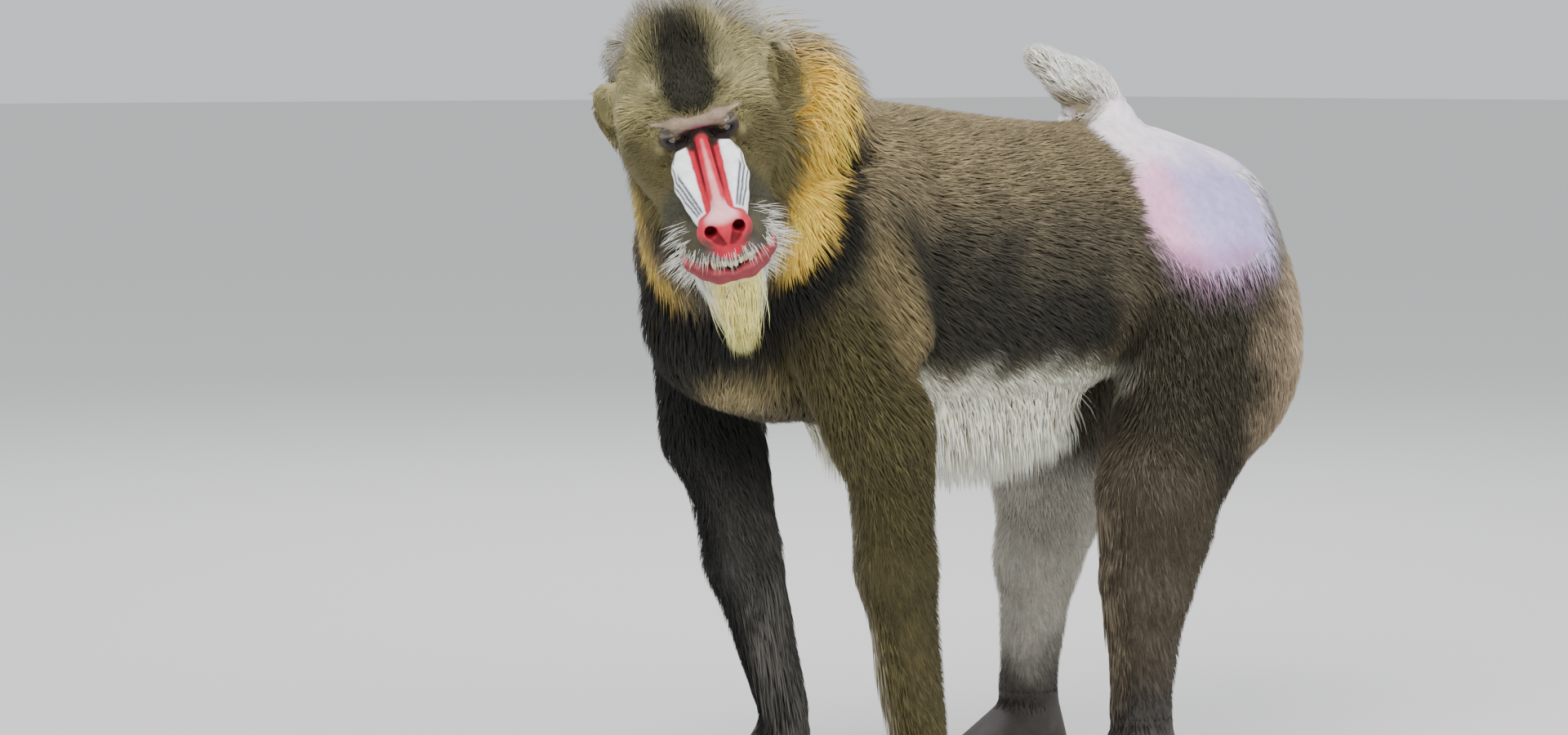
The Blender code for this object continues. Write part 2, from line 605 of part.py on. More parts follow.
def baked(obj):
    """The object's modifiers made part of its mesh."""
    shape = obj.evaluated_get(bpy.context.evaluated_depsgraph_get())
    mesh = bpy.data.meshes.new_from_object(shape)
    obj.modifiers.clear()
    old = obj.data
    obj.data = mesh
    bpy.data.meshes.remove(old)


def volume(mesh):
    bm = bmesh.new()
    bm.from_mesh(mesh)
    amount = bm.calc_volume()
    bm.free()
    return amount


def boolean(obj, others, operation):
    """Joins, cuts or crosses with other closed objects, which are used up."""
    group = bpy.data.collections.new("operands")
    bpy.context.scene.collection.children.link(group)
    for other in others:
        other.hide_render = True
        other.display_type = "WIRE"
        bpy.context.scene.collection.objects.unlink(other)
        group.objects.link(other)
    before, extra = obj.data.copy(), sum(volume(other.data) for other in others)
    size = volume(before)
    least = {"UNION": size, "DIFFERENCE": size - extra, "INTERSECT": 0.0}[operation]
    for solver in ("EXACT", "MANIFOLD"):
        step = obj.modifiers.new("step", "BOOLEAN")
        step.operation = operation
        step.solver = solver
        if len(others) > 1:
            step.operand_type = "COLLECTION"
            step.collection = group
        else:
            step.object = others[0]
        baked(obj)
        if least - 1e-9 <= volume(obj.data) <= size + extra + 1e-9:
            break
        obj.data = before.copy()
    bpy.data.meshes.remove(before)
    for other in others:
        bpy.data.objects.remove(other)
    bpy.data.collections.remove(group)


def cell(planes, grow=0.0):
    """A closed block bounded by planes, each a point and an outward direction, moved out by so much."""
    bm = bmesh.new()
    bmesh.ops.create_cube(bm, size=2.4)
    for point, outward in planes:
        normal = Vector(outward).normalized()
        geometry = bm.verts[:] + bm.edges[:] + bm.faces[:]
        place = Vector(point) + normal * grow
        found = bmesh.ops.bisect_plane(bm, geom=geometry, plane_co=place, plane_no=normal, clear_outer=True)
        rim = [item for item in found["geom_cut"] if isinstance(item, bmesh.types.BMEdge)]
        if rim:
            bmesh.ops.contextual_create(bm, geom=rim)
    bmesh.ops.recalc_face_normals(bm, faces=bm.faces[:])
    mesh = bpy.data.meshes.new("cell")
    bm.to_mesh(mesh)
    bm.free()
    return new_object("cell", mesh)


def before(point, direction):
    """The plane that keeps what lies before this point along this direction."""
    direction = np.array(direction) / np.linalg.norm(direction)
    return np.array(point) - direction * GAP / 2, direction


def beyond(point, direction):
    return before(point, -np.array(direction))


# Long coat: flat tapered locks that follow the lie
DOWN = np.array([0.0, 0.0, -1.0])


def slope(field, p, reach=0.0015):
    """The field and its unit gradient."""
    steps = np.eye(3) * reach
    g = np.stack([field(p + step) - field(p - step) for step in steps], axis=1)
    return field(p), g / np.maximum(np.linalg.norm(g, axis=1), 1e-9)[:, None]


def lock_lines(roots, flows, lengths, lift, droop):
    """Centre lines and facings of locks that start in the surface, rise off it and sag at their tips."""
    p = np.array(roots, float)
    for _ in range(4):
        distance, out = slope(body, p)
        p = p - out * distance[:, None]
    facing = out
    line, faces = [p - out * LOCK_SINK], [facing]
    step = np.array(lengths)[:, None] / (LOCK_RINGS - 1)
    for k in range(1, LOCK_RINGS):
        share = k / (LOCK_RINGS - 1)
        way = flows + DOWN * droop * share
        inward = np.minimum((way * out).sum(axis=1), 0.0)
        way = way - out * inward[:, None]
        p = p + step * way / np.linalg.norm(way, axis=1)[:, None]
        distance, out = slope(body, p)
        short = np.maximum(LOCK_CLEARANCE + lift * share - distance, 0.0)
        p = p + out * short[:, None]
        facing = facing + 0.5 * out
        facing = facing / np.linalg.norm(facing, axis=1)[:, None]
        line.append(p)
        faces.append(facing)
    return np.stack(line, axis=1), np.stack(faces, axis=1)


def lock_mesh(line, faces, width, grow=0.0):
    """A closed flat lock along its centre line, four-sided and drawn out to a point."""
    points, polygons = [], []
    for k in range(LOCK_RINGS - 1):
        along = line[k + 1] - line[max(k - 1, 0)]
        across = np.cross(along, faces[k])
        across = across / np.linalg.norm(across) * (width * LOCK_WIDTHS[k] / 2 + 1.6 * grow)
        out = np.cross(across, along)
        out = out / np.linalg.norm(out) * (LOCK_THICKNESS * (1.0 - 0.12 * k) / 2 + 1.6 * grow)
        points += [line[k] + across, line[k] + out, line[k] - across, line[k] - out]
    points.append(line[-1] + (line[-1] - line[-2]) * grow / 0.0010)
    polygons.append((3, 2, 1, 0))
    for k in range(LOCK_RINGS - 2):
        for j in range(4):
            a, b = 4 * k + j, 4 * k + (j + 1) % 4
            polygons.append((a, b, b + 4, a + 4))
    last = 4 * (LOCK_RINGS - 2)
    for j in range(4):
        polygons.append((last + j, last + (j + 1) % 4, last + 4))
    mesh = bpy.data.meshes.new("lock")
    mesh.from_pydata([tuple(point) for point in points], [], polygons)
    bm = bmesh.new()
    bm.from_mesh(mesh)
    bmesh.ops.recalc_face_normals(bm, faces=bm.faces[:])
    bmesh.ops.triangulate(bm, faces=bm.faces[:])
    bm.to_mesh(mesh)
    bm.free()
    return new_object("lock", mesh)


def along(guide, count, places):
    """Places along a guide line, one a lock, spread evenly with a little play."""
    guide = np.array(guide, float)
    shares = (np.arange(count) + 0.5 + (places - 0.5) * 0.3) / count
    steps = np.linspace(0.0, 1.0, len(guide))
    return np.stack([np.interp(shares, steps, guide[:, k]) for k in range(3)], axis=1)


def row_of_locks(roots, flows, length, width, lift, droop, draw):
    """Centre lines, facings and widths of a row of locks."""
    lengths = length * (0.88 + 0.24 * draw.random(len(roots)))
    flows = flows + (draw.random((len(roots), 3)) - 0.5) * 0.22
    lines, faces = lock_lines(roots, flows, lengths, lift, droop)
    return [(line, face, width * (0.9 + 0.2 * draw.random())) for line, face in zip(lines, faces)]


def lock_meshes(locks, grow=0.0):
    return [lock_mesh(line, face, width, grow) for line, face, width in locks]


def ring(centre, way, radius, angles):
    """Points round an axis, from its upper side."""
    way = way / np.linalg.norm(way)
    side = np.cross(way, -DOWN)
    side = side / np.linalg.norm(side)
    upward = np.cross(side, way)
    angles = np.radians(angles)[:, None]
    return centre + radius * (np.cos(angles) * upward + np.sin(angles) * side)


def rod_place(line, share):
    points = np.array(line, float)
    steps = np.linspace(0.0, 1.0, len(points))
    place = np.array([np.interp(share, steps, points[:, k]) for k in range(3)])
    ahead = np.array([np.interp(min(share + 0.1, 1.0), steps, points[:, k]) for k in range(3)])
    behind = np.array([np.interp(max(share - 0.1, 0.0), steps, points[:, k]) for k in range(3)])
    return place, ahead - behind


def grow_coat(made):
    """Joins every node with its own rows of locks, and clears it of the rows that lie over it."""
    draw = np.random.default_rng(7)
    locks = {"head": [], "neck": [], "tail": []}
    over_neck, over_torso = [], []
    for guide, count, flow, length, width, lift, droop in HEAD_ROWS:
        for s in (1.0, -1.0):
            spots = along(guide, count, draw.random(count)) * np.array([1.0, s, 1.0])
            way = DOWN if flow is None else from_head(flow[0], flow[1] * s, flow[2]) - EYES_MIDDLE
            roots = EYES_MIDDLE + spots @ HEAD
            row = row_of_locks(roots, np.tile(way, (count, 1)), length, width, lift, droop, draw)
            locks["head"] += row
            if guide[0][0] < -0.08:
                over_neck += row
    guide, count, _, length, width, lift, droop = BEARD_MIDDLE
    roots = EYES_MIDDLE + along(guide, count, draw.random(count)) @ HEAD
    locks["head"] += row_of_locks(roots, np.tile(DOWN, (count, 1)), length, width, lift, droop, draw)
    for share, count, length in MANE_ROWS:
        centre, way = rod_place([point for point, _, _ in MANE], share)
        angles = along(((-MANE_SPREAD, 0, 0), (MANE_SPREAD, 0, 0)), count, draw.random(count))[:, 0]
        roots = ring(centre, way, 0.070, angles)
        flows = np.tile(way / np.linalg.norm(way), (count, 1)) + 0.25 * DOWN
        row = row_of_locks(roots, flows, length, 0.019, 0.018, 0.45, draw)
        locks["neck"] += row
        if share > 0.3:
            over_torso += row
    for node, guide, count, flow, length, width, lift, droop in TRUNK_ROWS:
        roots = along(guide, count, draw.random(count))
        row = row_of_locks(roots, np.tile(flow, (count, 1)), length, width, lift, droop, draw)
        locks[node] = locks.get(node, []) + row
    for share, count, length in TAIL_ROWS:
        centre, way = rod_place((TAIL_ROOT, TAIL_MIDDLE, TAIL_TIP), share)
        angles = np.arange(count) * 360.0 / count + 360.0 * draw.random()
        flows = np.tile(way / np.linalg.norm(way), (count, 1))
        roots = ring(centre, way, 0.022, angles)
        locks["tail"] += row_of_locks(roots, flows, length, 0.014, 0.004, 0.0, draw)
    for node, rows in locks.items():
        boolean(made[node], lock_meshes(rows), "UNION")
    boolean(made["neck"], lock_meshes(over_neck, GAP), "DIFFERENCE")
    boolean(made["torso"], lock_meshes(over_torso, GAP), "DIFFERENCE")
    boolean(made["rump"], lock_meshes(locks["tail"], GAP), "DIFFERENCE")
    for obj in made.values():
        split(obj)


# Planes that part the body, and the floor
FLOOR = ((0.0, 0.0, GROUND), (0.0, 0.0, -1.0))
HEAD_CUT = (from_head(-0.098, 0.0, -0.050), from_head(-0.70, 0.12, -0.70) - EYES_MIDDLE)
THROAT_CUT = ((0.105, -0.105, 0.450), (-0.60, 0.75, -0.20))
HEAD_BLOCK = [(HEAD_CUT[0], -HEAD_CUT[1]), (THROAT_CUT[0], -np.array(THROAT_CUT[1]))]
NECK_CUT = ((0.010, -0.030, 0.530), (0.0, 0.60, -0.80))
LOIN_CUT = ((0.0, 0.284, 0.450), (0.0, 1.0, 0.0))
TAIL_CUT = ((-0.002, 0.368, 0.595), (0.0, -0.10, 1.0))


def limb_planes(side):
    """The planes that bound an arm and a leg towards the trunk."""
    s = SIDE[side]
    arm_side = ((0.046 * s, 0.0, 0.335), (0.934 * s, 0.0, -0.356))
    arm_back = ((0.0, 0.088, 0.450), (0.0, -0.97, -0.24))
    arm_top = ((0.0, 0.0, 0.556), (0.0, 0.0, -1.0))
    leg_side = ((0.020 * s, 0.0, 0.372), (0.848 * s, 0.0, -0.53))
    leg_front = ((0.0, 0.322, 0.400), (0.0, 0.94, -0.38))
    middle = ((0.0, 0.0, 0.0), (s, 0.0, 0.0))
    return (arm_side, arm_back, arm_top), (leg_side, leg_front, middle)


def joint_plane(chain_points, side, middle):
    """The plane across a joint, facing down the limb."""
    above, joint, below = (np.array(points[side]) for points in chain_points)
    down = (joint - above) / np.linalg.norm(joint - above) + (below - joint) / np.linalg.norm(below - joint)
    return joint + (below - joint) * middle, down


def box_of(points, margin):
    points = np.array(points)
    low, high = points.min(axis=0) - margin, points.max(axis=0) + margin
    return low, high


def piece(name, low, high, step, triangles, planes, away=()):
    """A part of the body: its surface in a box, kept within planes and cleared of other blocks."""
    obj = surface(name, body, low, high, step, triangles)
    boolean(obj, [cell(planes)], "INTERSECT")
    for block in away:
        boolean(obj, [cell([beyond(point, direction) for point, direction in block], GAP)], "DIFFERENCE")
    split(obj)
    return obj


def make_body():
    made = {}
    arms, legs = {}, {}
    for side in SIDE:
        s = SIDE[side]
        arms[side], legs[side] = limb_planes(side)
        elbow = joint_plane((SHOULDER, ELBOW, WRIST), side, 0.02)
        wrist = joint_plane((ELBOW, WRIST, WRIST_END), side, 0.0)
        knee = joint_plane((HIP, KNEE, ANKLE), side, 0.02)
        ankle = joint_plane((KNEE, ANKLE, ANKLE_END), side, 0.0)
        low, high = box_of((WRIST[side],), (0.060, 0.130, 0.105))
        planes = [beyond(*wrist), FLOOR]
        made["hand_" + side] = piece("hand_" + side, low, high, 0.0032, HAND_TRIANGLES, planes)
        low, high = box_of((ANKLE[side],), (0.075, 0.150, 0.105))
        planes = [beyond(*ankle), FLOOR]
        made["foot_" + side] = piece("foot_" + side, low, high, 0.0034, FOOT_TRIANGLES, planes)
        low, high = box_of((ELBOW[side], WRIST[side]), (0.058, 0.060, 0.050))
        planes = [beyond(*elbow), before(*wrist)]
        made["forearm_" + side] = piece("forearm_" + side, low, high, 0.0060, 260, planes)
        low, high = box_of((KNEE[side], ANKLE[side]), (0.070, 0.075, 0.060))
        planes = [beyond(*knee), before(*ankle)]
        made["shank_" + side] = piece("shank_" + side, low, high, 0.0060, 280, planes)
        low, high = box_of((SHOULDER[side], ELBOW[side]), (0.110, 0.110, 0.085))
        planes = [beyond(*plane) for plane in arms[side]] + [before(*elbow), beyond(*NECK_CUT)]
        away = [HEAD_BLOCK] if side == "left" else []
        made["upper_arm_" + side] = piece("upper_arm_" + side, low, high, 0.0070, 300, planes, away)
        low, high = box_of((HIP[side], KNEE[side]), (0.110, 0.140, 0.130))
        planes = [beyond(*plane) for plane in legs[side]] + [before(*knee)]
        made["thigh_" + side] = piece("thigh_" + side, low, high, 0.0070, 360, planes)
    away = [arms["left"], arms["right"], HEAD_BLOCK]
    low, high = (-0.20, -0.20, 0.304), (0.20, 0.33, 0.70)
    planes = [beyond(*NECK_CUT), before(*LOIN_CUT)]
    made["torso"] = piece("torso", low, high, 0.0080, 1000, planes, away)
    low, high = (-0.20, 0.25, 0.20), (0.20, 0.60, 0.70)
    planes = [beyond(*LOIN_CUT), before(*TAIL_CUT)]
    made["rump"] = piece("rump", low, high, 0.0075, 800, planes, [legs["left"], legs["right"]])
    low, high = box_of((TAIL_ROOT, TAIL_TIP), 0.06)
    made["tail"] = piece("tail", low, high, 0.0050, 200, [beyond(*TAIL_CUT)])
    low, high = (-0.12, -0.26, 0.36), (0.24, 0.16, 0.76)
    made["neck"] = piece("neck", low, high, 0.0070, 700, [before(*NECK_CUT)], [HEAD_BLOCK])
    return made


WRIST_END = {side: (x, y - 0.035, z - 0.050) for side, (x, y, z) in WRIST.items()}
ANKLE_END = {side: (x, y - 0.020, z - 0.060) for side, (x, y, z) in ANKLE.items()}


def ear_planes(s):
    """The block round an ear."""
    turn = math.radians(EAR_TURN)
    facing = np.array([math.cos(turn), math.sin(turn) * s, 0.0])
    spread = np.array([-math.sin(turn), math.cos(turn) * s, 0.0])
    upward = np.array([0.0, 0.0, 1.0])
    middle = np.array([EAR[0], EAR[1] * s, EAR[2]])
    sides = (
        (-spread, 0.0075),
        (facing, 0.013),
        (-facing, 0.011),
        (upward, 0.028),
        (-upward, 0.028),
        (spread, 0.024),
    )
    return [(from_head(*(middle + side * reach)), from_head(*side) - EYES_MIDDLE) for side, reach in sides]


def sphere(name, centre, radius, rings):
    bm = bmesh.new()
    axes = Matrix(HEAD.T.tolist()).to_4x4() @ Matrix.Rotation(math.pi / 2, 4, "Y")
    place = Matrix.Translation(Vector(centre)) @ axes
    bmesh.ops.create_uvsphere(bm, u_segments=rings * 2, v_segments=rings, radius=radius, matrix=place)
    mesh = bpy.data.meshes.new(name)
    bm.to_mesh(mesh)
    bm.free()
    return new_object(name, mesh)


def teeth(q, grow=0.0):
    """The row of upper teeth that shows between the lips, with its gum."""
    m = np.stack([q[:, 0], np.abs(q[:, 1]), q[:, 2]], axis=1)
    d = chain(m, TEETH_ROW, (0.0034, 0.0034, 0.0026), 0.002)
    row = np.array(TEETH_ROW)
    for share, size, drop in TEETH:
        place = np.array([np.interp(share, (0.0, 0.5, 1.0), row[:, k]) for k in range(3)])
        d = merge(d, rod(m, place, place + np.array([0.0006, 0.0, -drop]), size, size * 0.62), 0.0006)
    return d - grow


def make_head(made):
    low, high = (0.0, -0.33, 0.38), (0.30, -0.02, 0.75)
    head = surface("head", body, low, high, HEAD_STEP, HEAD_TRIANGLES)
    boolean(head, [cell([before(*HEAD_CUT), before(*THROAT_CUT)])], "INTERSECT")
    made["head"] = head
    middle = from_head(0.092, 0.0, -0.052)
    for name, grow, count in (("teeth", 0.0, 280), ("teeth_room", 3.0 * GAP, 360)):
        low, high = middle - 0.06, middle + 0.06
        row = surface(name, lambda p: teeth(head_points(p)[0], grow), low, high, 0.0011, count)
        if grow:
            boolean(head, [row], "DIFFERENCE")
        else:
            made["teeth"] = row
    for side, s in SIDE.items():
        centre = from_head(0.0, EYE_APART * s, 0.0)
        made["eye_" + side] = sphere("eye_" + side, centre, EYE_RADIUS, 9)
        boolean(head, [sphere("eye_room", centre, EYE_RADIUS + 1.6 * GAP, 10)], "DIFFERENCE")
        low, high = box_of((from_head(EAR[0], EAR[1] * s, EAR[2]),), 0.050)
        flap = surface("ear_" + side, body, low, high, 0.0020, EAR_TRIANGLES * 3)
        boolean(flap, [cell(ear_planes(s) + [before(*HEAD_CUT)])], "INTERSECT")
        split(flap)
        made["ear_" + side] = flap
        boolean(head, [cell(ear_planes(s), GAP)], "DIFFERENCE")
    split(head)


def finish(made):
    """Moves the animal onto the part's origin, and gives every node its colour and smooth shading."""
    for name, obj in made.items():
        obj.name = name
        obj.data.transform(Matrix.Translation(Vector(-ORIGIN)))
        kind = name.replace("_left", "").replace("_right", "")
        material = bpy.data.materials.new(name)
        material.use_nodes = True
        shader = material.node_tree.nodes["Principled BSDF"]
        shader.inputs["Base Color"].default_value = (*COLOURS[kind], 1.0)
        shader.inputs["Roughness"].default_value = 0.15 if kind == "eye" else 0.7
        obj.data.materials.clear()
        obj.data.materials.append(material)
        obj.data.shade_smooth()
        obj.data.set_sharp_from_angle(angle=math.radians(50.0))


def main():
    for obj in list(bpy.data.objects):
        bpy.data.objects.remove(obj)
    made = make_body()
    make_head(made)
    grow_coat(made)
    finish(made)


main()
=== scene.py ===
"""The looks of the mandrill: one skin, its coat in tufts, eyes, lids, teeth, nails and whiskers.

Metres, +Z up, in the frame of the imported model. The forms are worked out in the rig's own frame,
whose zero is on the floor between the shoulders, and moved by ORIGIN when they become meshes.
"""

import math

import bmesh
import bpy
import numpy as np
from mathutils import Matrix, Vector


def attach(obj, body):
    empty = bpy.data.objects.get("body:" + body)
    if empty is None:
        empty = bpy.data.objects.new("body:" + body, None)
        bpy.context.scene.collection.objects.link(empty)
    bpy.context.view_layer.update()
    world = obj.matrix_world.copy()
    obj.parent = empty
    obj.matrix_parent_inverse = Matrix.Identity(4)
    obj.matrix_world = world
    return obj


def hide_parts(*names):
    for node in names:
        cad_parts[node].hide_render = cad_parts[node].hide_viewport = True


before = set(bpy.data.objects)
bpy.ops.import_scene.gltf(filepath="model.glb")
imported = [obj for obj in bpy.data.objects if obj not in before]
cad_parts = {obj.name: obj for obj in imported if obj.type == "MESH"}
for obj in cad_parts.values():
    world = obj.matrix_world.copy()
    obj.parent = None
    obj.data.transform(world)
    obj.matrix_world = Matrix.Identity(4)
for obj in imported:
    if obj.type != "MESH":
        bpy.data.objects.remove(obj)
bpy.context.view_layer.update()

# The rig's zero is on the floor between the shoulders. The part's origin is under the middle of its box.
ORIGIN = np.array([0.045, 0.158, 0.0])

# Head: eyes' midpoint, and how the muzzle's line turns to the left, dips and tilts, in degrees
EYES_MIDDLE = np.array([0.138, -0.186, 0.582])
HEAD_TURN, HEAD_DIP, HEAD_TILT = 61.2, 32.3, 16.6
EYE_APART, EYE_RADIUS = 0.0175, 0.0112

# Limbs: joint places in the rig's frame, left then right
SHOULDER = {"left": (0.072, -0.030, 0.490), "right": (-0.064, -0.020, 0.480)}
ELBOW = {"left": (0.098, 0.024, 0.340), "right": (-0.098, 0.012, 0.325)}
WRIST = {"left": (0.082, 0.090, 0.092), "right": (-0.082, 0.082, 0.090)}
HIP = {"left": (0.070, 0.428, 0.455), "right": (-0.070, 0.432, 0.455)}
KNEE = {"left": (0.093, 0.340, 0.270), "right": (-0.093, 0.392, 0.268)}
ANKLE = {"left": (0.083, 0.338, 0.082), "right": (-0.083, 0.364, 0.080)}
SIDE = {"left": 1.0, "right": -1.0}

# Trunk: place along Y, top, bottom and half width, at the outside of the short coat
TRUNK = (
    (-0.115, 0.480, 0.420, 0.022),
    (-0.090, 0.540, 0.375, 0.046),
    (-0.040, 0.588, 0.352, 0.072),
    (0.040, 0.604, 0.338, 0.096),
    (0.120, 0.600, 0.325, 0.112),
    (0.220, 0.588, 0.322, 0.114),
    (0.300, 0.581, 0.338, 0.106),
    (0.370, 0.584, 0.366, 0.098),
    (0.440, 0.572, 0.380, 0.094),
    (0.490, 0.540, 0.385, 0.086),
    (0.525, 0.500, 0.400, 0.066),
    (0.545, 0.470, 0.430, 0.030),
)
TRUNK_SMOOTHING = 0.022
TAIL_ROOT, TAIL_MIDDLE, TAIL_TIP = (0.0, 0.368, 0.578), (-0.008, 0.354, 0.607), (-0.030, 0.320, 0.634)
TAIL_RADII = (0.030, 0.024, 0.015)


def turned_head():
    """The head's own axes as rows: forward along the muzzle, to its left, and up."""
    turn = Matrix.Rotation(math.radians(HEAD_TURN), 3, "Z")
    dip = Matrix.Rotation(math.radians(HEAD_DIP), 3, "X")
    forward = turn @ dip @ Vector((0.0, -1.0, 0.0))
    left = Matrix.Rotation(math.radians(HEAD_TILT), 3, forward) @ turn @ Vector((1.0, 0.0, 0.0))
    return np.array([forward, left, forward.cross(left)])


HEAD = turned_head()


def from_head(forward, left, up):
    """A point given in the head's axes from the eyes' midpoint, in the rig's frame."""
    return EYES_MIDDLE + np.array([forward, left, up]) @ HEAD


# Small helpers
def step(x, a, b):
    """0 up to a and 1 from b, smooth between them. a may be the larger."""
    t = np.clip((x - a) / (b - a), 0.0, 1.0)
    return t * t * (3.0 - 2.0 * t)


def unit(v):
    """Vectors of length 1 along these."""
    return v / np.maximum(np.linalg.norm(v, axis=-1, keepdims=True), 1e-12)


def blob(p, centre, radius, soft=0.5):
    """1 inside a ball, falling to 0 over a share of its radius."""
    d = np.linalg.norm(p - np.asarray(centre, float), axis=1)
    return 1.0 - step(d, radius * (1.0 - soft), radius * (1.0 + soft))


def mix(a, b, share):
    """Colour a where the share is 0 and colour b where it is 1."""
    share = share[:, None]
    return a * (1.0 - share) + np.asarray(b, float) * share


def tone(r, g, b):
    """A colour given as seen on a screen, 0 to 255, as linear light."""
    c = np.array([r, g, b]) / 255.0
    return np.where(c <= 0.04045, c / 12.92, ((c + 0.055) / 1.055) ** 2.4)


def ripple(p, size, seed=0.0):
    """A smooth uneven value from -1 to 1 that changes over about this size."""
    q = p / size
    a = np.sin(q[:, 0] * 1.7 + 1.3 * np.sin(q[:, 1] * 1.1 + seed) + seed)
    b = np.sin(q[:, 1] * 1.9 + 1.1 * np.sin(q[:, 2] * 1.3 + seed * 1.7) + 2.1)
    c = np.sin(q[:, 2] * 1.6 + 1.2 * np.sin(q[:, 0] * 1.5 + seed * 0.6) + 4.2)
    return (a + b + c) / 3.0


# Distances: p is an (n, 3) array of points, and each returns n distances, negative inside
def along(p, a, b):
    """How far along the line from a to b each point is, as a share, and how far from it."""
    ab = b - a
    t = np.clip((p - a) @ ab / (ab @ ab), 0.0, 1.0)
    return t, np.linalg.norm(p - a - t[:, None] * ab, axis=1)


def rod(p, a, b, ra, rb):
    """A rod with round ends, tapered from radius ra at a to rb at b."""
    t, away = along(p, np.asarray(a, float), np.asarray(b, float))
    return away - (ra + (rb - ra) * t)


def ball(p, centre, radii, tip=0.0):
    """An ellipsoid with these radii along X, Y and Z, tipped by so many degrees about X."""
    q = p - np.asarray(centre, float)
    if tip:
        c, s = math.cos(math.radians(tip)), math.sin(math.radians(tip))
        q = np.stack([q[:, 0], c * q[:, 1] + s * q[:, 2], -s * q[:, 1] + c * q[:, 2]], axis=1)
    q = q / np.asarray(radii, float)
    k = np.linalg.norm(q, axis=1)
    return k * (k - 1.0) / np.maximum(np.linalg.norm(q / radii, axis=1), 1e-9)


def merge(a, b, soft):
    """Union of two distances, rounded over this width."""
    h = np.clip(0.5 + 0.5 * (b - a) / soft, 0.0, 1.0)
    return b + (a - b) * h - soft * h * (1.0 - h)


def carve(a, b, soft):
    """Distance a with b taken away from it."""
    return -merge(-a, b, soft)


def chain(p, points, radii, soft=0.01):
    """Tapered rods through these points."""
    d = rod(p, points[0], points[1], radii[0], radii[1])
    for i in range(1, len(points) - 1):
        d = merge(d, rod(p, points[i], points[i + 1], radii[i], radii[i + 1]), soft)
    return d


def trunk_form():
    """The trunk's sizes against Y, smoothed, so that the distance reads them by interpolation."""
    table = np.array(TRUNK)
    places = np.arange(table[0, 0] - 0.06, table[-1, 0] + 0.06, 0.002)
    reach = np.arange(-0.06, 0.0601, 0.002)
    weights = np.exp(-((reach / TRUNK_SMOOTHING) ** 2))
    weights /= weights.sum()
    ends = len(reach) // 2
    columns = []
    for column in range(1, 4):
        values = np.interp(places, table[:, 0], table[:, column])
        padded = np.pad(values, ends, mode="edge")
        columns.append(np.convolve(padded, weights, mode="valid"))
    return places, columns[0], columns[1], columns[2]


TRUNK_FORM = trunk_form()


def trunk(p):
    places, top, bottom, half = TRUNK_FORM
    y = p[:, 1]
    high, low, wide = (np.interp(y, places, values) for values in (top, bottom, half))
    tall = (high - low) / 2
    x, z = p[:, 0] / wide, (p[:, 2] - (high + low) / 2) / tall
    k = np.sqrt(x * x + z * z)
    g = np.sqrt((x / wide) ** 2 + (z / tall) ** 2)
    d = k * (k - 1.0) / np.maximum(g, 1e-9)
    ends = np.maximum(TRUNK[0][0] - y, y - TRUNK[-1][0])
    return -merge(-d, -ends, 0.03)


def arm(p, side):
    shoulder, elbow, wrist = (np.array(joint[side]) for joint in (SHOULDER, ELBOW, WRIST))
    s = SIDE[side]
    middle = elbow + (wrist - elbow) * 0.45
    blade = shoulder + np.array([-0.012 * s, 0.085, 0.040])
    d = rod(p, shoulder, elbow, 0.050, 0.041)
    d = merge(d, rod(p, blade, shoulder, 0.045, 0.052), 0.03)
    triceps = elbow + np.array([-0.004 * s, 0.030, 0.075])
    d = merge(d, rod(p, shoulder + np.array([0.0, 0.06, 0.01]), triceps, 0.045, 0.030), 0.03)
    d = merge(d, rod(p, elbow + np.array([0.0, 0.012, 0.008]), middle, 0.0395, 0.0330), 0.02)
    return merge(d, rod(p, middle, wrist, 0.0330, 0.0215), 0.015)


def leg(p, side):
    hip, knee, ankle = (np.array(joint[side]) for joint in (HIP, KNEE, ANKLE))
    s = SIDE[side]
    middle = knee + (ankle - knee) * 0.40
    d = ball(p, hip + np.array([0.006 * s, 0.004, -0.050]), (0.056, 0.094, 0.120), 12.0)
    d = merge(d, rod(p, hip + np.array([0.0, -0.02, -0.05]), knee, 0.058, 0.046), 0.03)
    calf = knee + np.array([-0.002 * s, 0.016, -0.035])
    d = merge(d, rod(p, hip + np.array([0.006 * s, 0.020, -0.085]), calf, 0.056, 0.034), 0.02)
    d = merge(d, rod(p, knee, middle, 0.046, 0.037), 0.02)
    d = merge(d, rod(p, calf, middle, 0.040, 0.034), 0.02)
    return merge(d, rod(p, middle, ankle, 0.037, 0.0255), 0.015)


def fingers(side):
    """Root, knuckle, joint and tip of each finger, and last the thumb without its root."""
    s, wrist = SIDE[side], np.array(WRIST[side])
    lines = []
    for i in range(4):
        across = (i - 1.5) * s
        root = wrist + np.array([across * 0.0070, -0.002, -0.014])
        knuckle = np.array([wrist[0] + across * 0.0145, wrist[1] - 0.046 + abs(i - 1.4) * 0.004, 0.027])
        joint = knuckle + np.array([across * 0.003, -0.030, -0.0150])
        tip = joint + np.array([across * 0.002, -0.026 + abs(i - 1.4) * 0.004, -0.0050])
        lines.append((root, knuckle, joint, tip))
    thumb = wrist + np.array([-0.030 * s, -0.038, -0.066])
    start = wrist + np.array([-0.010 * s, -0.006, -0.024])
    lines.append((start, thumb, thumb + np.array([-0.004 * s, -0.018, -0.016])))
    return lines


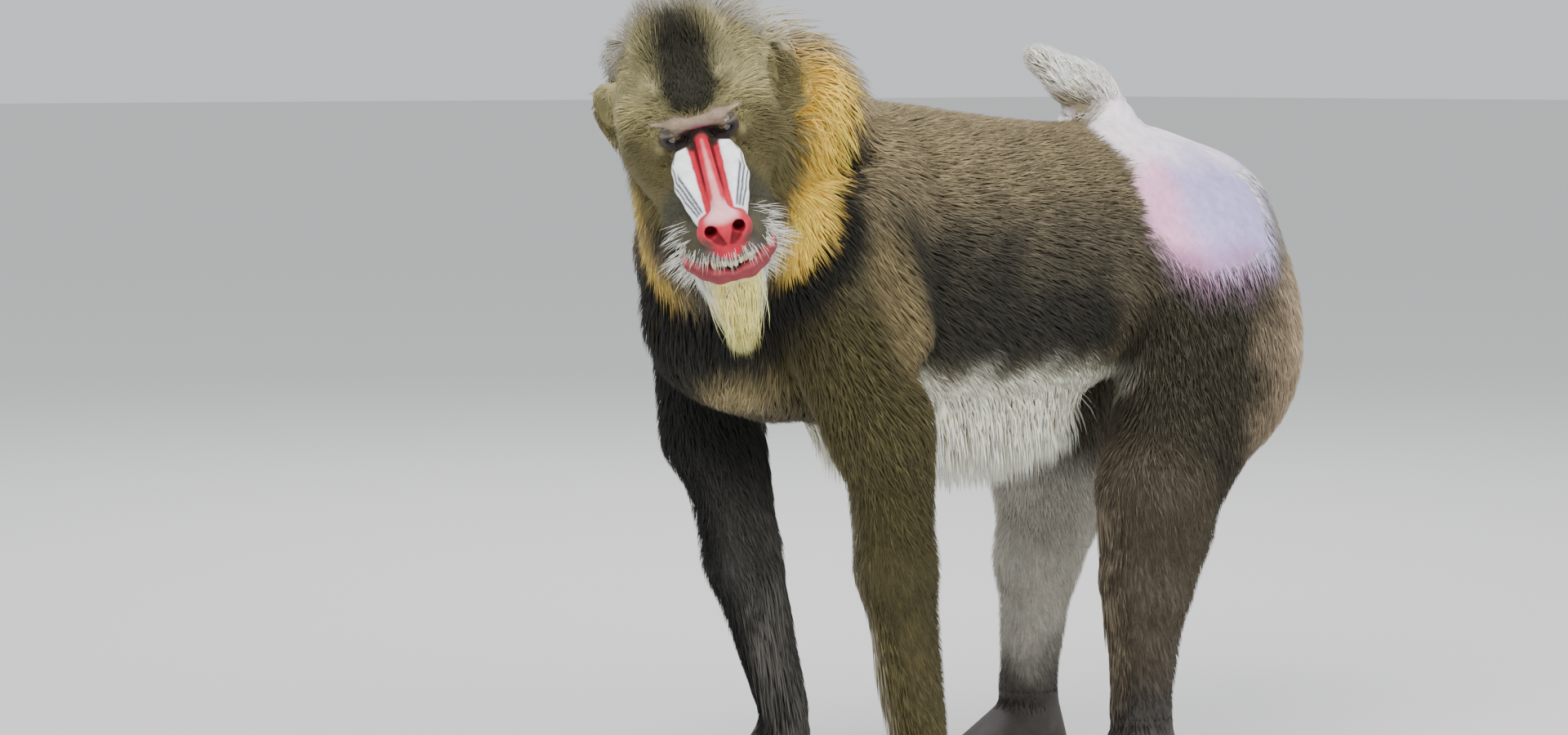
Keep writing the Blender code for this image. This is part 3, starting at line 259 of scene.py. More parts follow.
def hand(p, side):
    """A hand on its fingers: palm raised, four fingers and a thumb flat on the floor."""
    *long_fingers, (start, thumb, end) = fingers(side)
    d = np.full(len(p), 1.0)
    for root, knuckle, joint, tip in long_fingers:
        d = merge(d, rod(p, root, knuckle, 0.0130, 0.0100), 0.006)
        d = merge(d, rod(p, knuckle, joint, 0.0100, 0.0078), 0.004)
        d = merge(d, rod(p, joint, tip, 0.0078, 0.0062), 0.003)
    d = merge(d, rod(p, start, thumb, 0.0105, 0.0075), 0.006)
    return merge(d, rod(p, thumb, end, 0.0075, 0.0060), 0.003)


def toes(side):
    """Root, knuckle, joint and tip of each toe, and last the great toe without its root."""
    s, ankle = SIDE[side], np.array(ANKLE[side])
    lines = []
    for i in range(4):
        across = (i - 1.2) * s
        root = ankle + np.array([across * 0.006, -0.004, -0.030])
        knuckle = np.array([ankle[0] + across * 0.0150, ankle[1] - 0.080 + abs(i - 1.2) * 0.006, 0.0145])
        joint = knuckle + np.array([across * 0.003, -0.026, 0.0010])
        tip = joint + np.array([across * 0.002, -0.022 + abs(i - 1.2) * 0.004, -0.0095])
        lines.append((root, knuckle, joint, tip))
    great = np.array([ankle[0] - 0.042 * s, ankle[1] - 0.048, 0.0100])
    inner = np.array([ankle[0] - 0.008 * s, ankle[1] - 0.006, 0.020])
    lines.append((inner, great, great + np.array([-0.004 * s, -0.024, -0.0030])))
    return lines


def foot(p, side):
    """A flat foot: heel, sole, four toes and a great toe that stands apart."""
    *small_toes, (inner, great, end) = toes(side)
    ankle = np.array(ANKLE[side])
    d = rod(p, ankle, np.array([ankle[0], ankle[1] + 0.026, 0.019]), 0.0240, 0.0190)
    for root, knuckle, joint, tip in small_toes:
        d = merge(d, rod(p, root, knuckle, 0.0200, 0.0120), 0.008)
        d = merge(d, rod(p, knuckle, joint, 0.0115, 0.0085), 0.004)
        d = merge(d, rod(p, joint, tip, 0.0085, 0.0064), 0.003)
    d = merge(d, rod(p, inner, great, 0.0165, 0.0100), 0.006)
    return merge(d, rod(p, great, end, 0.0095, 0.0068), 0.003)


def whole_arm(p, side):
    low, high = (-0.24, -0.19, -0.05), (0.24, 0.23, 0.13)
    return merge(arm(p, side), near(p, lambda p: hand(p, side), low, high), 0.010)


def whole_leg(p, side):
    low, high = (-0.24, 0.19, -0.05), (0.24, 0.64, 0.13)
    return merge(leg(p, side), near(p, lambda p: foot(p, side), low, high), 0.010)


def tail(p):
    return chain(p, (TAIL_ROOT, TAIL_MIDDLE, TAIL_TIP), TAIL_RADII, 0.015)


def head_points(p):
    """Points in the head's axes, folded so that both sides are the left one."""
    q = (p - EYES_MIDDLE) @ HEAD.T
    return q, np.stack([q[:, 0], np.abs(q[:, 1]), q[:, 2]], axis=1)


# Face: centre lines in the head's axes on the left side, with their radii
BROW = ((0.0070, 0.0, 0.0107), (0.0078, 0.016, 0.0114), (-0.0035, 0.033, 0.0086))
BROW_RADII = (0.0062, 0.0058, 0.0050)
RIDGE = (0.004, 0.0, -0.004), (0.106, 0.0, -0.0075)
SWELLING = (
    (0.018, 0.0138, -0.0085),
    (0.034, 0.0167, -0.0108),
    (0.054, 0.0172, -0.0125),
    (0.076, 0.0148, -0.0135),
    (0.097, 0.0120, -0.0140),
)
SWELLING_RADII = (0.0082, 0.0100, 0.0104, 0.0088, 0.0064)
JAW = ((-0.050, 0.034, -0.062), (0.020, 0.024, -0.070), (0.088, 0.006, -0.069))
UPPER_LIP = ((0.1065, 0.0, -0.0345), (0.0960, 0.0180, -0.0350), (0.0660, 0.0290, -0.0410))
MOUTH = (
    (0.1130, 0.0, -0.0485),
    (0.1085, 0.0130, -0.0487),
    (0.0990, 0.0235, -0.0493),
    (0.0870, 0.0320, -0.0508),
    (0.0740, 0.0385, -0.0535),
)
MOUTH_RADII = (0.0052, 0.0052, 0.0048, 0.0034, 0.0018)
LOWER_LIP = (
    (0.1090, 0.0, -0.0598),
    (0.1050, 0.0118, -0.0598),
    (0.0965, 0.0215, -0.0592),
    (0.0860, 0.0290, -0.0583),
    (0.0745, 0.0348, -0.0570),
)
LOWER_LIP_RADII = (0.0040, 0.0040, 0.0038, 0.0032, 0.0022)
NOSTRILS = (
    ((0.1270, 0.0100, -0.0078), (0.1090, 0.0105, -0.0140), 0.0054, 0.0036),
    ((0.1235, 0.0095, -0.0105), (0.1195, 0.0032, -0.0235), 0.0046, 0.0020),
)


def skull(p):
    """Braincase, cheeks, brow, lids, long ridged muzzle, nose, lips and jaw, bare of long hair."""
    q, m = head_points(p)
    d = ball(q, (-0.066, 0.0, 0.004), (0.062, 0.050, 0.046))
    d = merge(d, ball(m, (-0.050, 0.034, -0.034), (0.044, 0.026, 0.044)), 0.02)
    d = merge(d, rod(q, (-0.020, 0.0, -0.030), (0.084, 0.0, -0.030), 0.0290, 0.0225), 0.012)
    d = merge(d, rod(m, (-0.030, 0.014, -0.055), (0.072, 0.012, -0.050), 0.0260, 0.0180), 0.012)
    d = merge(d, rod(m, (-0.004, 0.030, -0.014), (-0.034, 0.042, -0.020), 0.0085, 0.0120), 0.012)
    d = carve(d, ball(m, (0.016, EYE_APART + 0.001, 0.0), (0.015, 0.0115, 0.0085)), 0.006)
    d = merge(d, chain(m, BROW, BROW_RADII), 0.006)
    d = merge(d, ball(m, (-0.0006, EYE_APART, 0.0), (0.0128, 0.0132, 0.0124)), 0.003)
    for deep in (0.0108, 0.0136):
        fold = np.abs(ball(m, (0.004, EYE_APART + 0.0004, 0.0), (0.030, deep, deep * 0.68)))
        d = d + 0.0006 * step(fold, 0.0012, 0.0002) * step(m[:, 0], 0.003, 0.006)
    d = carve(d, ball(m, (0.012, EYE_APART, -0.0004), (0.0110, 0.0070, 0.0033)), 0.0006)
    d = merge(d, chain(m, SWELLING, SWELLING_RADII, 0.002), 0.004)
    d = merge(d, rod(q, *RIDGE, 0.0048, 0.0066), 0.003)
    d = d + 0.0008 * grooves(m)
    crease = rod(m, (0.014, 0.0060, -0.0036), (0.086, 0.0062, -0.0066), 0.0009, 0.0004)
    d = carve(d, crease, 0.0012)
    d = merge(d, ball(q, (0.110, 0.0, -0.0140), (0.0120, 0.0165, 0.0125)), 0.006)
    d = merge(d, ball(m, (0.1115, 0.0112, -0.0172), (0.0108, 0.0095, 0.0112)), 0.004)
    d = merge(d, chain(m, UPPER_LIP, (0.0120, 0.0120, 0.0120)), 0.010)
    d = merge(d, chain(m, JAW, (0.0180, 0.0170, 0.0150)), 0.014)
    d = carve(d, chain(m, MOUTH, MOUTH_RADII), 0.002)
    d = merge(d, chain(m, LOWER_LIP, LOWER_LIP_RADII), 0.002)
    for nostril in NOSTRILS:
        d = carve(d, rod(m, *nostril), 0.0016)
    return carve(d, rod(q, (0.126, 0.0, -0.010), (0.124, 0.0, -0.030), 0.0010, 0.0012), 0.002)


EAR, EAR_TURN, EAR_RADII = (-0.079, 0.062, -0.016), 32.0, (0.0062, 0.0165, 0.0220)


def ear(m):
    """A cupped ear, its bowl facing forward and outward."""
    c, s = math.cos(math.radians(EAR_TURN)), math.sin(math.radians(EAR_TURN))
    w = (m - np.array(EAR)) @ np.array([[c, s, 0.0], [-s, c, 0.0], [0.0, 0.0, 1.0]]).T
    d = ball(w, (0.0, -0.0060, 0.0), EAR_RADII)
    d = carve(d, ball(w, (0.0100, 0.0020, 0.0), (0.0095, 0.0120, 0.0170)), 0.002)
    return merge(d, ball(w, (0.0040, -0.0120, -0.0060), (0.0045, 0.0050, 0.0080)), 0.003)


# Grooves of a swelling: start and end of each, as a place forward and degrees up from its outer side
GROOVES = (
    ((0.040, 4.0), (0.099, 40.0)),
    ((0.030, 22.0), (0.099, 64.0)),
    ((0.044, 50.0), (0.098, 84.0)),
    ((0.022, 30.0), (0.036, 42.0)),
)


def grooves(m):
    """1 in the grooves of the swellings, which run forward and inward, and 0 beside them."""
    row = np.array(SWELLING)
    aside = m[:, 1] - np.interp(m[:, 0], row[:, 0], row[:, 1])
    above = m[:, 2] - np.interp(m[:, 0], row[:, 0], row[:, 2])
    radius = np.interp(m[:, 0], row[:, 0], SWELLING_RADII)
    turn = np.degrees(np.arctan2(above, np.maximum(aside, -0.004)))
    found = np.zeros(len(m))
    for (start, low), (end, high) in GROOVES:
        t = np.clip((m[:, 0] - start) / (end - start), 0.0, 1.0)
        arc = np.abs(turn - low - (high - low) * t) * radius * 0.01745
        ends = step(m[:, 0], start - 0.001, start + 0.010) * step(m[:, 0], end + 0.001, end - 0.004)
        found = np.maximum(found, step(arc, 0.0016, 0.0004) * ends)
    return found * step(np.hypot(aside, above), radius + 0.004, radius + 0.002) * (aside > -0.003)


# Long coat: centre line, with the radius of the flesh and of the hair's tips, and how softly it merges
CREST = (
    ((-0.026, 0.024, 0.026), 0.007, 0.011),
    ((-0.060, 0.014, 0.040), 0.012, 0.021),
    ((-0.100, 0.004, 0.036), 0.014, 0.030),
)
CHEEK = (
    ((-0.026, 0.024, 0.026), 0.007, 0.011),
    ((-0.034, 0.042, 0.000), 0.010, 0.016),
    ((-0.034, 0.042, -0.040), 0.010, 0.018),
)
RUFF = (
    ((-0.100, 0.038, 0.015), 0.010, 0.024),
    ((-0.100, 0.044, -0.030), 0.010, 0.026),
    ((-0.068, 0.038, -0.080), 0.010, 0.022),
)
BEARD = (
    ((0.052, 0.0, -0.080), 0.012, 0.020),
    ((0.062, 0.0, -0.112), 0.001, 0.014),
    ((0.066, 0.0, -0.135), 0.001, 0.005),
)
MANE = (
    ((0.078, -0.082, 0.612), 0.048, 0.076),
    ((0.043, -0.028, 0.588), 0.045, 0.070),
    ((0.014, 0.045, 0.535), 0.050, 0.068),
)
CHEST = (
    ((0.050, -0.100, 0.510), 0.045, 0.062),
    ((0.010, -0.060, 0.425), 0.040, 0.056),
    ((0.0, 0.0, 0.380), 0.018, 0.034),
)


def coat(p, line, share, soft=0.02):
    """A length of long coat, filled out to this share of its hair."""
    points = [np.array(point) for point, _, _ in line]
    radii = [flesh + (tips - flesh) * share for _, flesh, tips in line]
    return chain(p, points, radii, soft)


def long_coat(p, share):
    """The long coat, from its flesh where share is 0 to its tips where it is 1."""
    q, m = head_points(p)
    d = merge(coat(m, CREST, share), coat(m, CHEEK, share), 0.02)
    d = merge(d, coat(m, RUFF, share), 0.02)
    d = merge(d, coat(q, BEARD, share, 0.01), 0.010)
    d = merge(d, coat(p, MANE, share, 0.03), 0.03)
    d = merge(d, coat(p, CHEST, share, 0.03), 0.04)
    hollow = (EAR, np.array(EAR) + np.array([0.040, 0.032, 0.0]))
    return carve(d, rod(m, hollow[0], hollow[1], 0.021, 0.030), 0.008)


def near(p, field, low, high):
    """A distance that is worked out only inside a box, and is far off elsewhere."""
    d = np.full(len(p), 1.0)
    inside = ((p > np.asarray(low)) & (p < np.asarray(high))).all(axis=1)
    if inside.any():
        d[inside] = field(p[inside])
    return d


ARM_BOX = (-0.24, -0.19, -0.05), (0.24, 0.23, 0.62)
LEG_BOX = (-0.24, 0.19, -0.05), (0.24, 0.64, 0.66)
TAIL_BOX = (-0.12, 0.22, 0.50), (0.10, 0.49, 0.74)
HEAD_REACH = 0.20


def body(p, share=1.0):
    """The whole animal at the outside of its short coat, with its long coat out to this share."""
    d = trunk(p)
    d = merge(d, ball(p, (0.0, 0.470, 0.480), (0.086, 0.070, 0.078), -35.0), 0.03)
    for side in SIDE:
        d = merge(d, near(p, lambda p: whole_arm(p, side), *ARM_BOX), 0.022)
        d = merge(d, near(p, lambda p: whole_leg(p, side), *LEG_BOX), 0.022)
    d = merge(d, near(p, tail, *TAIL_BOX), 0.012)
    neck = rod(p, from_head(-0.085, 0.010, -0.010), (0.0, -0.030, 0.505), 0.052, 0.070)
    d = merge(d, neck, 0.03)
    d = merge(d, long_coat(p, share), 0.025)
    low, high = EYES_MIDDLE - HEAD_REACH, EYES_MIDDLE + HEAD_REACH
    d = merge(d, near(p, skull, low, high), 0.010)
    return merge(d, near(p, lambda p: ear(head_points(p)[1]), low, high), 0.003)


# Surface of a distance: a net of quads with one vertex in each cell that the surface crosses
CUBE = [(i, j, k) for i in (0, 1) for j in (0, 1) for k in (0, 1)]


def shifted(values, corner, size):
    """The part of a grid that starts at this corner and has this size."""
    return values[tuple(slice(corner[k], corner[k] + size[k]) for k in range(3))]


def sample(field, axes, coarse=4):
    """The field on a grid, worked out only near its surface."""
    step = axes[0][1] - axes[0][0]
    values = None
    while coarse:
        level = [np.append(axis[::coarse], axis[-1] + step) if coarse > 1 else axis for axis in axes]
        shape = [len(axis) for axis in level]
        if values is None:
            grid = np.stack(np.meshgrid(*level, indexing="ij"), axis=-1).reshape(-1, 3)
            values = field(grid).reshape(shape)
        else:
            values = values.repeat(2, 0).repeat(2, 1).repeat(2, 2)[: shape[0], : shape[1], : shape[2]]
            index = np.argwhere(np.abs(values) < step * coarse * 4.2)
            points = np.stack([level[k][index[:, k]] for k in range(3)], axis=1)
            values[tuple(index.T)] = field(points)
        coarse //= 2
    return values


def untangled(values, step):
    """Fills the samples where two parts of the surface would meet along an edge or at a corner."""
    for _ in range(12):
        inside = values < 0
        bad = []
        for k in range(3):
            u, v = np.eye(3, dtype=int)[(k + 1) % 3], np.eye(3, dtype=int)[(k + 2) % 3]
            corners = [np.zeros(3, int), u, v, u + v]
            size = np.array(values.shape) - u - v
            a, b, c, d = (shifted(inside, corner, size) for corner in corners)
            found = np.argwhere((a == d) & (b == c) & (a != b))
            bad += [found + corner for corner in corners]
        size = np.array(values.shape) - 1
        views = [shifted(inside, corner, size) for corner in CUBE]
        count = sum(view.astype(np.int8) for view in views)
        for i in range(4):
            pair = (views[i] == views[7 - i]) & (count == np.where(views[i], 2, 6))
            found = np.argwhere(pair)
            bad += [found + corner for corner in CUBE]
        index = np.concatenate(bad)
        if not len(index):
            break
        at = tuple(index.T)
        values[at] = np.minimum(values[at], -step * 0.05)
    return values


def net(field, low, high, step):
    """Points and quads of the surface where the field is zero, between two corners."""
    axes = [np.arange(low[k], high[k] + step, step) for k in range(3)]
    values = sample(field, axes)
    for k in range(3):
        edge = [slice(None)] * 3
        for end in (0, -1):
            edge[k] = end
            values[tuple(edge)] = np.maximum(values[tuple(edge)], step * 0.3)
    values = untangled(values, step)
    inside = values < 0
    n = [size - 1 for size in inside.shape]
    count = sum(shifted(inside, corner, n).astype(np.int8) for corner in CUBE)
    cells = np.argwhere((count > 0) & (count < 8))
    number = np.full(n, -1)
    number[tuple(cells.T)] = np.arange(len(cells))
    total, crossings = np.zeros((len(cells), 3)), np.zeros(len(cells))
    for a in CUBE:
        for k in range(3):
            if a[k]:
                continue
            b = tuple(a[m] + (m == k) for m in range(3))
            fa, fb = values[tuple((cells + a).T)], values[tuple((cells + b).T)]
            crossed = (fa < 0) != (fb < 0)
            t = np.where(crossed, fa / np.where(crossed, fa - fb, 1.0), 0.0)
            place = np.array(a, float) + np.outer(t, np.eye(3)[k])
            total[crossed] += place[crossed]
            crossings += crossed
    points = (cells + total / crossings[:, None]) * step + np.array([axis[0] for axis in axes])
    quads = []
    for k in range(3):
        u, v = (k + 1) % 3, (k + 2) % 3
        first, second = np.take(inside, range(n[k]), k), np.take(inside, range(1, n[k] + 1), k)
        edges = np.argwhere(first != second)
        for way in (u, v):
            edges = edges[(edges[:, way] > 0) & (edges[:, way] < n[way])]
        around = []
        for du, dv in ((-1, -1), (0, -1), (0, 0), (-1, 0)):
            cell = edges.copy()
            cell[:, u] += du
            cell[:, v] += dv
            around.append(number[tuple(cell.T)])
        faces = np.stack(around, axis=1)
        inward = second[tuple(edges.T)]
        faces[inward] = faces[inward][:, ::-1]
        quads.append(faces)
    return points, np.concatenate(quads)


# Where the animal is bare, and how deep its short coat is
def face_share(p):
    """1 on the bare face: swellings, ridge, nose, lips and the skin round the eyes."""
    q, m = head_points(p)
    shapes = (
        chain(m, SWELLING, SWELLING_RADII, 0.002) - 0.0005,
        rod(q, *RIDGE, 0.0095, 0.0110),
        ball(q, (0.110, 0.0, -0.014), (0.0145, 0.0205, 0.0165)),
        ball(m, (0.006, EYE_APART + 0.0005, -0.0040), (0.022, 0.0130, 0.0078)),
        rod(m, (0.008, 0.0, 0.0040), (0.008, 0.014, 0.0060), 0.0066, 0.0040),
        rod(m, (0.110, 0.0, -0.036), (0.090, 0.022, -0.038), 0.0160, 0.0110),
        chain(m, MOUTH, MOUTH_RADII) - 0.0020,
        chain(m, LOWER_LIP, LOWER_LIP_RADII) - 0.0008,
    )
    return step(np.minimum.reduce(shapes) + 0.0006 * ripple(p, 0.004), 0.0022, -0.0002)


def rump_share(p):
    """1 on the bare patch of the rump, which reaches round both sides."""
    m = np.stack([np.abs(p[:, 0]), p[:, 1], p[:, 2]], axis=1)
    d = np.linalg.norm(m - (0.085, 0.400, 0.510), axis=1) - 0.074
    d = merge(d, np.linalg.norm(m - (0.0, 0.440, 0.545), axis=1) - 0.084, 0.02)
    d = merge(d, np.linalg.norm(m - (0.040, 0.368, 0.560), axis=1) - 0.047, 0.02)
    d = merge(d, np.linalg.norm(m - (0.0, 0.505, 0.475), axis=1) - 0.070, 0.02)
    return step(d + 0.006 * ripple(p, 0.012), 0.014, -0.012)


def extremity(p):
    """1 on the bare hands and feet."""
    edge = 0.064 + 0.008 * ripple(p, 0.010)
    return 1.0 - step(p[:, 2], edge - 0.020, edge + 0.020)


def ear_share(p):
    """1 on the ears."""
    return step(ear(head_points(p)[1]), 0.0060, 0.0020)


def hairless(p):
    """1 where no coat grows: face, rump, hands and feet."""
    return np.maximum.reduce((face_share(p), rump_share(p), extremity(p)))


# Long hair that hangs free: whiskers round the mouth, beard, and the fringe of the belly
BEARD_TIP = from_head(0.068, -0.006, -0.156)


def whisker_share(m):
    """1 where the white whiskers beside the mouth grow."""
    d = rod(m, (0.078, 0.034, -0.060), (0.068, 0.028, -0.082), 0.0075, 0.012)
    return step(d, 0.004, -0.002)


def beard_share(m):
    """1 where the beard grows, under the jaw."""
    d = ball(m, (0.072, 0.0, -0.074), (0.044, 0.028, 0.020))
    return step(d, 0.004, -0.002) * step(m[:, 2], -0.062, -0.067)


# Depth of the short coat at these heights
COAT_DEPTHS = ((0.060, 0.000), (0.100, 0.003), (0.200, 0.005), (0.330, 0.007), (0.480, 0.009))


def short_coat(p):
    """Depth of the short coat."""
    q, m = head_points(p)
    depth = np.interp(p[:, 2], *zip(*COAT_DEPTHS))
    whole_head = rod(q, (-0.060, 0.0, -0.010), (0.100, 0.0, -0.050), 0.070, 0.060)
    near_head = 1.0 - step(whole_head, 0.010, 0.035)
    on_head = 0.0022 + 0.0026 * step(m[:, 0], 0.030, -0.030)
    on_head = on_head * (1.0 - face_share(p)) * (1.0 - ear_share(p))
    depth = depth * (1.0 - near_head) + on_head * near_head
    return depth * (1.0 - rump_share(p))


def skin_field(p):
    """The animal without its coat."""
    return body(p, 0.0) + short_coat(p)


# Meshes
def new_object(name, mesh):
    obj = bpy.data.objects.new(name, mesh)
    bpy.context.scene.collection.objects.link(obj)
    return obj


def mesh_of(name, points, faces):
    """A mesh from points and faces that all have as many corners."""
    mesh = bpy.data.meshes.new(name)
    points, faces = np.asarray(points, np.float32), np.asarray(faces, np.int32)
    count, corners = faces.shape
    mesh.vertices.add(len(points))
    mesh.vertices.foreach_set("co", points.ravel())
    mesh.loops.add(count * corners)
    mesh.loops.foreach_set("vertex_index", faces.ravel())
    mesh.polygons.add(count)
    mesh.polygons.foreach_set("loop_start", np.arange(0, count * corners, corners, dtype=np.int32))
    mesh.update(calc_edges=True)
    return mesh


def vertex_points(mesh):
    """The places of a mesh's vertices."""
    points = np.empty(len(mesh.vertices) * 3, np.float32)
    mesh.vertices.foreach_get("co", points)
    return points.reshape(-1, 3).astype(float)


def block(name, field, low, high, size):
    """An object of the field's surface between two corners, in cells of this size."""
    points, quads = net(field, low, high, size)
    return new_object(name, mesh_of(name, points, quads))


def join(obj, other):
    """Union of two closed meshes, applied, with the second one removed."""
    modifier = obj.modifiers.new("join", "BOOLEAN")
    modifier.object = other
    modifier.operation = "UNION"
    modifier.solver = "MANIFOLD"
    bpy.context.view_layer.update()
    mesh = bpy.data.meshes.new_from_object(obj.evaluated_get(bpy.context.evaluated_depsgraph_get()))
    obj.modifiers.clear()
    obj.data = mesh
    bpy.data.objects.remove(other)


def keep_largest(obj):
    """Makes triangles, and drops every closed surface but the largest."""
    bm = bmesh.new()
    bm.from_mesh(obj.data)
    bmesh.ops.triangulate(bm, faces=bm.faces)
    bm.verts.ensure_lookup_table()
    group = [-1] * len(bm.verts)
    sizes = []
    for vert in bm.verts:
        if group[vert.index] >= 0:
            continue
        heap, group[vert.index], count = [vert], len(sizes), 0
        while heap:
            at = heap.pop()
            count += 1
            for edge in at.link_edges:
                other = edge.other_vert(at)
                if group[other.index] < 0:
                    group[other.index] = len(sizes)
                    heap.append(other)
        sizes.append(count)
    best = sizes.index(max(sizes))
    drop = [vert for vert in bm.verts if group[vert.index] != best]
    bmesh.ops.delete(bm, geom=drop, context="VERTS")
    bm.to_mesh(obj.data)
    bm.free()


# The skin is worked out in blocks, fine on the face, and joined into one closed surface
FACE_MIDDLE = from_head(0.040, 0.0, -0.050)
HEAD_MIDDLE = from_head(-0.040, 0.0, -0.030)
OVERLAP = 0.0025


def face_block(p):
    q = head_points(p)[0]
    return np.maximum(-(q[:, 0] + 0.020), np.linalg.norm(p - FACE_MIDDLE, axis=1) - 0.118)


def head_block(p):
    return np.linalg.norm(p - HEAD_MIDDLE, axis=1) - 0.118


def low_block(p):
    return p[:, 2] - 0.078


def rest_of_head(p):
    return np.maximum(head_block(p), -face_block(p) - OVERLAP)


def rest_of_body(p):
    d = np.maximum(-face_block(p), -head_block(p))
    return np.maximum(d, -low_block(p)) - OVERLAP


def within(region):
    return lambda p: np.maximum(skin_field(p), region(p))


def make_skin():
    skin = block("skin", within(rest_of_body), (-0.16, -0.34, -0.01), (0.26, 0.58, 0.72), 0.0040)
    low, high = (-0.16, -0.06, -0.008), (0.17, 0.43, 0.084)
    join(skin, block("low", within(low_block), low, high, 0.0022))
    join(skin, block("head", within(rest_of_head), HEAD_MIDDLE - 0.125, HEAD_MIDDLE + 0.125, 0.0020))
    join(skin, block("face", within(face_block), FACE_MIDDLE - 0.125, FACE_MIDDLE + 0.125, 0.0011))
    keep_largest(skin)
    return skin


# Lie of the coat: where it grows, which way it lies, and how long it is
def bone(p, a, b, radius):
    """How near a part of the body is, and its direction, both for every point."""
    a, b = np.asarray(a, float), np.asarray(b, float)
    away = along(p, a, b)[1] - radius
    return np.exp(-np.maximum(away, 0.0) / 0.020), (b - a) / np.linalg.norm(b - a)


def zone(p, line):
    """1 within the radii of a line of long coat, falling to 0 over 20 mm."""
    found = np.zeros(len(p))
    for point, _, radius in line:
        away = np.linalg.norm(p - np.array(point), axis=1)
        found = np.maximum(found, 1.0 - step(away, radius, radius + 0.02))
    return found


def head_zone(q):
    """1 on the head, falling to 0 down the neck."""
    return step(rod(q, (-0.045, 0.0, -0.025), (0.080, 0.0, -0.055), 0.085, 0.060), 0.035, 0.005)


def lie(p, normal):
    """The direction in which the coat lies, along the skin."""
    flow = np.zeros_like(p)
    side = np.sign(p[:, 0])
    trunk_share = np.exp(-np.maximum(trunk(p) + 0.01, 0.0) / 0.020)
    flank = np.clip(-normal[:, 2] + 0.55, 0.0, 1.5)
    along_back = np.stack([0.05 * side, np.ones(len(p)), -0.75 * flank], axis=1)
    flow += trunk_share[:, None] * unit(along_back)
    for name in SIDE:
        bones = (
            (SHOULDER[name], ELBOW[name], 0.050, 1.6, (0.0, 0.25, 0.0)),
            (ELBOW[name], WRIST[name], 0.036, 2.2, (0.0, 0.25, 0.0)),
            (HIP[name], KNEE[name], 0.070, 1.6, (0.0, 0.45, 0.0)),
            (KNEE[name], ANKLE[name], 0.040, 2.2, (0.0, 0.35, 0.0)),
        )
        for a, b, radius, weight, sweep in bones:
            share, way = bone(p, a, b, radius)
            flow += (share * weight)[:, None] * (way + np.array(sweep))
    share, way = bone(p, TAIL_ROOT, TAIL_TIP, 0.020)
    flow += (share * 6.0 * step(p[:, 2], 0.590, 0.605))[:, None] * way
    q, m = head_points(p)
    inside = head_zone(q)
    head_side = np.sign(q[:, 1])
    outward = step(m[:, 1], 0.015, 0.050)
    low = step(q[:, 2], -0.050, -0.085)
    behind = step(m[:, 0], -0.020, -0.060)
    ahead = -1.0 + 0.9 * low + 0.55 * outward * (0.5 + 0.5 * behind)
    aside = head_side * outward * (0.65 + 0.25 * behind)
    back = np.stack([ahead, aside, 0.28 - (0.90 + 0.40 * behind) * outward - 1.0 * low], axis=1)
    whiskers = whisker_share(m)[:, None]
    beside = np.stack([np.full(len(p), 0.15), head_side * 0.80, np.full(len(p), -0.50)], axis=1)
    back = unit(back) * (1.0 - whiskers) + whiskers * beside
    flow = flow * (1.0 - inside)[:, None] + (inside * 3.0)[:, None] * (unit(back) @ HEAD)
    spread = unit(p - np.array(MANE[0][0])) * 0.6 + np.array([-0.30, 0.72, -0.45])
    mane = zone(p, MANE) * (1.0 - inside)
    flow = flow * (1.0 - mane)[:, None] + (mane * 2.0)[:, None] * spread
    chest = zone(p, CHEST) * (1.0 - inside) * (1.0 - mane * 0.6)
    flow = flow * (1.0 - chest)[:, None] + (chest * 2.0)[:, None] * np.array([0.05, -0.05, -1.0])
    flow = flow - (flow * normal).sum(1, keepdims=True) * normal
    return unit(flow)


def belly_share(p, normal):
    """1 on the long pale hair of the belly and chest's underside."""
    low = step(p[:, 2], 0.385, 0.345) * step(np.abs(p[:, 0]), 0.105, 0.070)
    between = low * step(p[:, 1], 0.015, 0.050) * step(p[:, 1], 0.345, 0.300)
    return between * step(normal[:, 2], 0.25, -0.15)


def gradient(field, p, reach=0.0012):
    """The direction in which a field grows fastest, at every point."""
    corners = np.array([(1, 1, 1), (1, -1, -1), (-1, 1, -1), (-1, -1, 1)], float)
    total = np.zeros_like(p)
    for corner in corners:
        total += field(p + corner * reach)[:, None] * corner
    return unit(total)


